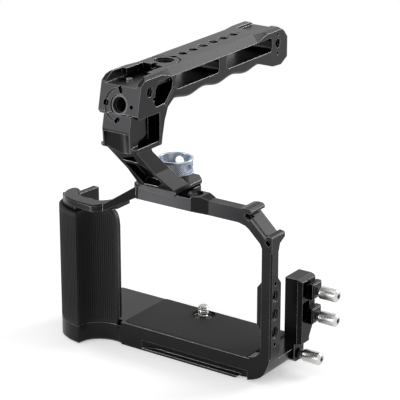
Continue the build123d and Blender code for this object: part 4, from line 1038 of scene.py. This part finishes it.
# ------------------------------------------------------------------------ lock knob
@dataclass
class LockKnob:
    """Cup-shaped knob with a diamond knurl outside and three holes for a pin."""

    knurl: Knurl
    wall: float = 1.25
    height: float = 8.8
    floor: float = 2.2
    bore: float = 2.6
    foot_chamfer: float = 1.5
    foot_round: float = 0.2
    rim_round: float = 0.45
    rim_steps: int = 5
    holes: int = 3
    hole_radius: float = 2.3
    hole_span: Point = (4.0, 14.0)
    hole_sides: int = 48
    hole_z: float = 106.0
    first_hole_degrees: float = -10.0
    groove_depth: float = 0.3
    groove_low: float = 0.05
    groove_high: float = 0.3
    rim_low: float = 0.35
    plain_foot: float = 0.05
    plain_depth: float = 0.01
    sharp_degrees: float = 24.0
    segments: int = 560
    knurl_rows: int = 50

    def section(self) -> list[Point]:
        """Closed section of the cup.

        Returns:
            (radius, height over its foot) of each point.
        """
        outer, low, high = self.knurl.radius, self.knurl.low, self.knurl.high
        inner, groove = outer - self.wall, outer - self.groove_depth
        outside = rounded([(self.bore, 0.0), (outer - self.foot_chamfer, 0.0), (outer, self.foot_chamfer),
                           (outer, low)], self.foot_round)
        step = (high - low) / self.knurl_rows
        wall = [(outer, low + step * row) for row in range(1, self.knurl_rows + 1)]
        wall += [(groove, high + self.groove_low), (groove, high + self.groove_high)]
        rim = rounded([(groove, high + self.groove_high), (outer, high + self.rim_low), (outer, self.height),
                       (inner, self.height), (inner, self.floor), (self.bore, self.floor)],
                      self.rim_round, self.rim_steps)
        return outside + wall + rim[1:]

    def build(self, finish: bpy.types.Material) -> bpy.types.Object:
        """Build the knob with its knurl and holes.

        Args:
            finish: Metal that it is made of.

        Returns:
            The knob.
        """
        section = self.section()
        knurl, centre_y = self.knurl, self.knurl.centre_y
        vertices, turn, rise, pressed, inward = [], [], [], [], []
        for radius, height in section:
            inside = (knurl.low + self.plain_foot < height <= knurl.high
                      and radius > knurl.radius - self.plain_depth)
            for step in range(self.segments):
                angle = 2 * math.pi * step / self.segments
                cosine, sine = math.cos(angle), math.sin(angle)
                vertices.append((radius * cosine, centre_y + radius * sine, knurl.foot_z + height))
                turn.append(step / self.segments)
                rise.append(height)
                pressed.append(float(inside))
                inward.append((-cosine, -sine, 0.0))
        faces = tube_faces(len(section), self.segments, capped=False)
        mesh = closed_mesh("lock_knob_knurled", vertices, faces)
        set_attributes(mesh, {"turn": turn, "rise": rise, "pressed": pressed}, {"inward": inward})
        knob = new_object("lock_knob_knurled", mesh)
        run_tree(knob, knurl_tree(), {"Count": float(knurl.count), "Lead": knurl.lead,
                                      "Depth": knurl.depth * MM, "Finish": finish})
        for step in range(self.holes):
            angle = math.radians(self.first_hole_degrees + 360 / self.holes * step)
            outwards = Vector((math.cos(angle), math.sin(angle), 0.0))
            drill(knob, self.hole_radius, self.hole_span, (0, centre_y, self.hole_z), outwards,
                  self.hole_sides)
        shade_smooth(knob.data, self.sharp_degrees)
        return knob


# --------------------------------------------------------------------- thumb screws
@dataclass
class ThumbScrew:
    """Round-headed screw with a hex socket in its end and a threaded shank."""

    name: str
    node: str
    body: Body
    neck_x: float
    y: float
    z: float
    reach: float
    head_radius: float = 3.4
    head_length: float = 11.0
    head_edge: float = 1.0
    neck_radius: float = 2.2
    neck_length: float = 1.4
    shank_radius: float = 1.45
    tip_chamfer: float = 0.3
    corner_round: float = 0.18
    sides: int = 72
    socket_radius: float = 1.45
    socket_depth: float = 2.5
    socket_sides: int = 6
    past_end: float = 1.0

    def build(self) -> bpy.types.Object:
        """Build the screw along +X.

        Returns:
            The screw.
        """
        start, end = self.neck_length, self.neck_length + self.head_length
        head, edge, shank, tip = self.head_radius, self.head_edge, self.shank_radius, -self.reach
        corners = [(0.0, tip), (shank - self.tip_chamfer, tip), (shank, tip + self.tip_chamfer), (shank, 0.0),
                   (self.neck_radius, 0.0), (self.neck_radius, start), (head - edge, start),
                   (head, start + edge), (head, end - edge), (head - edge, end), (0.0, end)]
        origin, along = (self.neck_x, self.y, self.z), Vector((1, 0, 0))
        profile = rounded(corners, self.corner_round)
        screw = new_object(self.name, lathe(self.name, profile, origin, along, self.sides))
        drill(screw, self.socket_radius, (end - self.socket_depth, end + self.past_end), origin, along,
              self.socket_sides)
        shade_smooth(screw.data)
        return screw


# --------------------------------------------------------------------------- threads
@dataclass
class ThreadGroup:
    """Equal screw threads that stand on one body."""

    name: str
    body: Body
    slot: Slot
    starts: Sequence[Place]
    axes: Sequence[Place]
    pitch: float
    radius: float
    length: float
    ridge: float = 0.20
    sharp_degrees: float = 60.0

    def build(self, tree: bpy.types.NodeTree, finish: bpy.types.Material) -> bpy.types.Object:
        """Wind every thread of the group.

        Args:
            tree: Tree that winds a thread from each point.
            finish: Material of the threads.

        Returns:
            One piece that holds every thread.
        """
        mesh = bpy.data.meshes.new(self.name)
        mesh.from_pydata(in_metres(self.starts), [], [])
        set_attributes(mesh, {}, {"axis": self.axes})
        piece = new_object(self.name, mesh)
        run_tree(piece, tree, {"Pitch": self.pitch * MM, "Radius": self.radius * MM, "Ridge": self.ridge * MM,
                               "Length": self.length * MM, "Finish": finish})
        shade_smooth(piece.data, self.sharp_degrees)
        return piece


@dataclass
class Threads:
    """Threads of every tapped hole in view and of the camera's screw."""

    quarter_pitch: float = 1.27
    quarter_radius: float = 2.60
    large_pitch: float = 1.5875
    large_radius: float = 3.95
    large_ridge: float = 0.26
    top_z: float = 163.5
    top_depth: float = 3.9
    top_first_y: float = -8.0
    top_pitch: float = 9.15
    top_count: int = 6
    side_x: float = 5.2
    side_places: Sequence[Point] = ((-51.8, 155.8), (62.7, 155.2))
    platform_x: float = 15.4
    front_axis: Place = (0.0, -0.976414, 0.215907)

    def groups(self) -> list[ThreadGroup]:
        """List the groups of equal threads.

        Returns:
            The groups, in the order that they are built.
        """
        up, right, left = (0.0, 0.0, 1.0), (1.0, 0.0, 0.0), (-1.0, 0.0, 0.0)
        top = [(0.0, self.top_first_y + self.top_pitch * step, self.top_z - self.top_depth)
               for step in range(self.top_count)]
        sides = [(side * self.side_x, y, z) for y, z in self.side_places for side in (1, -1)]
        platform = [(side * self.platform_x, -18.2, 87.7) for side in (1, -1)]
        quarter = {"pitch": self.quarter_pitch, "radius": self.quarter_radius}
        large = {"pitch": self.large_pitch, "radius": self.large_radius, "ridge": self.large_ridge}
        return [
            ThreadGroup("side_threads", Body.CAGE, Slot.FRAME, [(54.9, -16.0, 49.3), (54.9, -16.0, 39.35)],
                        [right] * 2, length=6.8, **quarter),
            ThreadGroup("side_thread_low", Body.CAGE, Slot.FRAME, [(57.6, -16.0, 29.4)], [right],
                        length=4.1, **quarter),
            ThreadGroup("platform_threads", Body.CAGE, Slot.FRAME, platform, [up] * 2, length=6.0, **quarter),
            ThreadGroup("handle_top_threads", Body.CAGE, Slot.HANDLE, top, [up] * self.top_count,
                        length=3.4, **quarter),
            ThreadGroup("handle_side_threads", Body.CAGE, Slot.HANDLE, sides, [right, left] * 2,
                        length=6.2, **quarter),
            ThreadGroup("top_insert_thread", Body.CAGE, Slot.BLACK, [(0.0, -23.5, 159.6)], [up],
                        length=2.9, **large),
            ThreadGroup("front_insert_thread", Body.CAGE, Slot.BLACK, [(0.0, -52.7, 147.75)],
                        [self.front_axis], length=7.4, **large),
            ThreadGroup("camera_screw_thread", Body.CAMERA_BOLT, Slot.STEEL, [(0.0, 10.8, 14.3)], [up],
                        pitch=self.quarter_pitch, radius=2.55, length=4.4, ridge=0.42),
        ]

    def build(self, materials: dict[Slot, bpy.types.Material]) -> None:
        """Build and dress every group.

        Args:
            materials: Finish of each slot.
        """
        tree = thread_tree()
        for group in self.groups():
            dress(group.build(tree, materials[group.slot]), group.body, materials[group.slot])


# ------------------------------------------------------------------------ CAD pieces
@dataclass
class CadPieces:
    """Metal pieces that keep their CAD shape and take a finish."""

    slots: dict[str, str]

    @classmethod
    def from_record(cls, record: dict) -> "CadPieces":
        """Read each node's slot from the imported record."""
        return cls({part["node"]: part["material_slot"] for part in record["subparts"]})

    def build(self, materials: dict[Slot, bpy.types.Material]) -> None:
        """Assign each node the finish of its slot, and keep its flat faces flat in the shading.

        Args:
            materials: Finish of each slot.
        """
        for name, slot in self.slots.items():
            node = frame["nodes"][name]
            node.data.materials.clear()
            node.data.materials.append(materials[Slot(slot)])
            normals = node.modifiers.new("flat_faces", "WEIGHTED_NORMAL")
            normals.keep_sharp = True
            LOG.info("%s: %s", name, slot)


# ---------------------------------------------------------------------------- studio
@dataclass
class SoftBox:
    """Square lamp that faces the object."""

    name: str
    direction: Place
    distance: float
    size: float
    power: float

    def build(self, target: Vector) -> None:
        """Place the lamp.

        Args:
            target: Place that it faces, in metres.
        """
        lamp = bpy.data.lights.new(self.name, "AREA")
        lamp.size, lamp.energy = self.size, self.power
        made = bpy.data.objects.new(self.name, lamp)
        bpy.context.scene.collection.objects.link(made)
        away = Vector(self.direction).normalized()
        made.location = target + away * self.distance
        made.rotation_mode = "QUATERNION"
        made.rotation_quaternion = (-away).to_track_quat("-Z", "Y")
        made.visible_camera = False


@dataclass
class Studio:
    """Pale floor, white surroundings, soft lamps and the camera."""

    camera_place: Place = (0.51086, -0.72745, 0.40285)
    camera_heading: Place = (-0.5370, 0.7726, -0.3387)
    lens: float = 163.44
    sensor: float = 36.0
    clip: Point = (0.05, 50.0)
    target: Place = (0.0, 0.0, 0.08)
    floor_half: float = 6.0
    floor_z: float = -1e-4
    floor_colour: Colour = (0.80, 0.80, 0.80)
    floor_lift: float = 0.42
    floor_fade: Point = (0.12, 0.55)
    ambient: float = 0.42
    lamps: Sequence[SoftBox] = (
        SoftBox("back_right_box", (0.48, 0.77, 0.46), 1.25, 0.60, 8.0),
        SoftBox("low_back_right_box", (0.63, 0.77, 0.02), 1.25, 0.35, 3.5),
        SoftBox("front_left_box", (-0.54, -0.84, 0.14), 1.25, 0.60, 6.0),
        SoftBox("front_left_card", (-0.104, -0.164, -0.05), 0.197, 0.040, 0.08),
        SoftBox("front_right_box", (0.77, -0.54, 0.25), 1.3, 0.30, 0.8),
        SoftBox("top_box", (0.0, -0.1, 1.0), 1.3, 0.9, 3.0),
    )

    def build(self) -> None:
        """Build the stage, the lamps and the camera."""
        self._world()
        self._floor()
        for lamp in self.lamps:
            lamp.build(Vector(self.target))
        self._camera()
        bpy.context.scene.view_settings.view_transform = "Standard"

    @staticmethod
    def _seen(graph: Graph) -> Field:
        """Tell the rays that show the background: camera, glossy and transmission.

        Args:
            graph: Graph of the world or of a material.

        Returns:
            1 for such a ray, and 0 for any other.
        """
        rays = graph.node("ShaderNodeLightPath")
        camera, glossy, through = (Field(graph, rays.outputs[label])
                                   for label in ("Is Camera Ray", "Is Glossy Ray", "Is Transmission Ray"))
        return graph.math("MAXIMUM", graph.math("MAXIMUM", camera, glossy), through)

    def _world(self) -> None:
        """White surroundings, dimmer as a light than as a background."""
        world = bpy.data.worlds.new("surroundings")
        bpy.context.scene.world = world
        world.use_nodes = True
        world.node_tree.nodes.clear()
        graph = Graph(world.node_tree)
        strength = self.ambient + self._seen(graph) * (1.0 - self.ambient)
        light = graph.out("ShaderNodeBackground", 0, None, {"Color": (1, 1, 1, 1), "Strength": strength})
        graph.node("ShaderNodeOutputWorld", inputs={"Surface": light})

    def _floor(self) -> None:
        """Pale floor that fades to white away from the object."""
        corners = [(side * self.floor_half, end * self.floor_half, self.floor_z)
                   for side, end in ((-1, -1), (1, -1), (1, 1), (-1, 1))]
        mesh = bpy.data.meshes.new("floor")
        mesh.from_pydata(corners, [], [(0, 1, 2, 3)])
        floor = new_object("floor", mesh)
        material, graph = blank_material("floor_paint")
        place = graph.out("ShaderNodeTexCoord", "Object")
        distance = graph.vector("LENGTH", place, output="Value")
        seen = self._seen(graph)
        paint = graph.out("ShaderNodeBsdfDiffuse", 0, None, {"Color": (*self.floor_colour, 1.0)})
        lift, white = (graph.out("ShaderNodeEmission", 0, None, {"Color": (1, 1, 1, 1), "Strength": strength})
                       for strength in (seen * self.floor_lift, 1.0))
        near = graph.out("ShaderNodeAddShader", 0, None, {0: paint, 1: lift})
        start, end = self.floor_fade
        fade = graph.out("ShaderNodeMapRange", 0, {"interpolation_type": "SMOOTHSTEP"},
                         {"Value": distance, "From Min": start, "From Max": end})
        both = graph.out("ShaderNodeMixShader", 0, None, {0: fade * seen, 1: near, 2: white})
        graph.node("ShaderNodeOutputMaterial", inputs={"Surface": both})
        floor.data.materials.append(material)

    def _camera(self) -> None:
        """Camera at the front right, looking slightly down."""
        data = bpy.data.cameras.new("camera")
        data.sensor_width, data.lens = self.sensor, self.lens
        data.clip_start, data.clip_end = self.clip
        camera = bpy.data.objects.new("camera", data)
        bpy.context.scene.collection.objects.link(camera)
        camera.location = self.camera_place
        camera.rotation_mode = "QUATERNION"
        camera.rotation_quaternion = Vector(self.camera_heading).to_track_quat("-Z", "Y")
        bpy.context.scene.camera = camera


def main() -> None:
    """Build the studio and dress every piece of the cage."""
    logging.basicConfig(level=logging.INFO, format="%(name)s: %(message)s")
    Studio().build()
    materials = Finishes().by_slot()
    CadPieces.from_record(frame["record"]).build(materials)
    GripSide(GripCover(), SoftPad("base_pad_soft", "base_pad", 1.5),
             SoftPad("side_pad_soft", "side_pad", 0.8, 0.25)).build(materials)
    knob = LockKnob(Knurl()).build(materials[Slot.KNOB])
    dress(knob, Body.KNOB, materials[Slot.KNOB], ["lock_knob"])
    jaw = {"neck_x": 69.2, "y": 13.9, "reach": 10.5}
    for screw in (ThumbScrew("upper_thumb_screw", "jaw_screw_upper", Body.UPPER_JAW_SCREW, z=43.2, **jaw),
                  ThumbScrew("lower_thumb_screw", "jaw_screw_lower", Body.LOWER_JAW_SCREW, z=29.6, **jaw),
                  ThumbScrew("mount_thumb_screw", "clamp_mount_screw", Body.MOUNT_SCREW, neck_x=63.6, y=7.9,
                             z=8.9, reach=13.0)):
        dress(screw.build(), screw.body, materials[Slot.THUMB], [screw.node])
    Threads().build(materials)


if __name__ == "__main__":
    main()
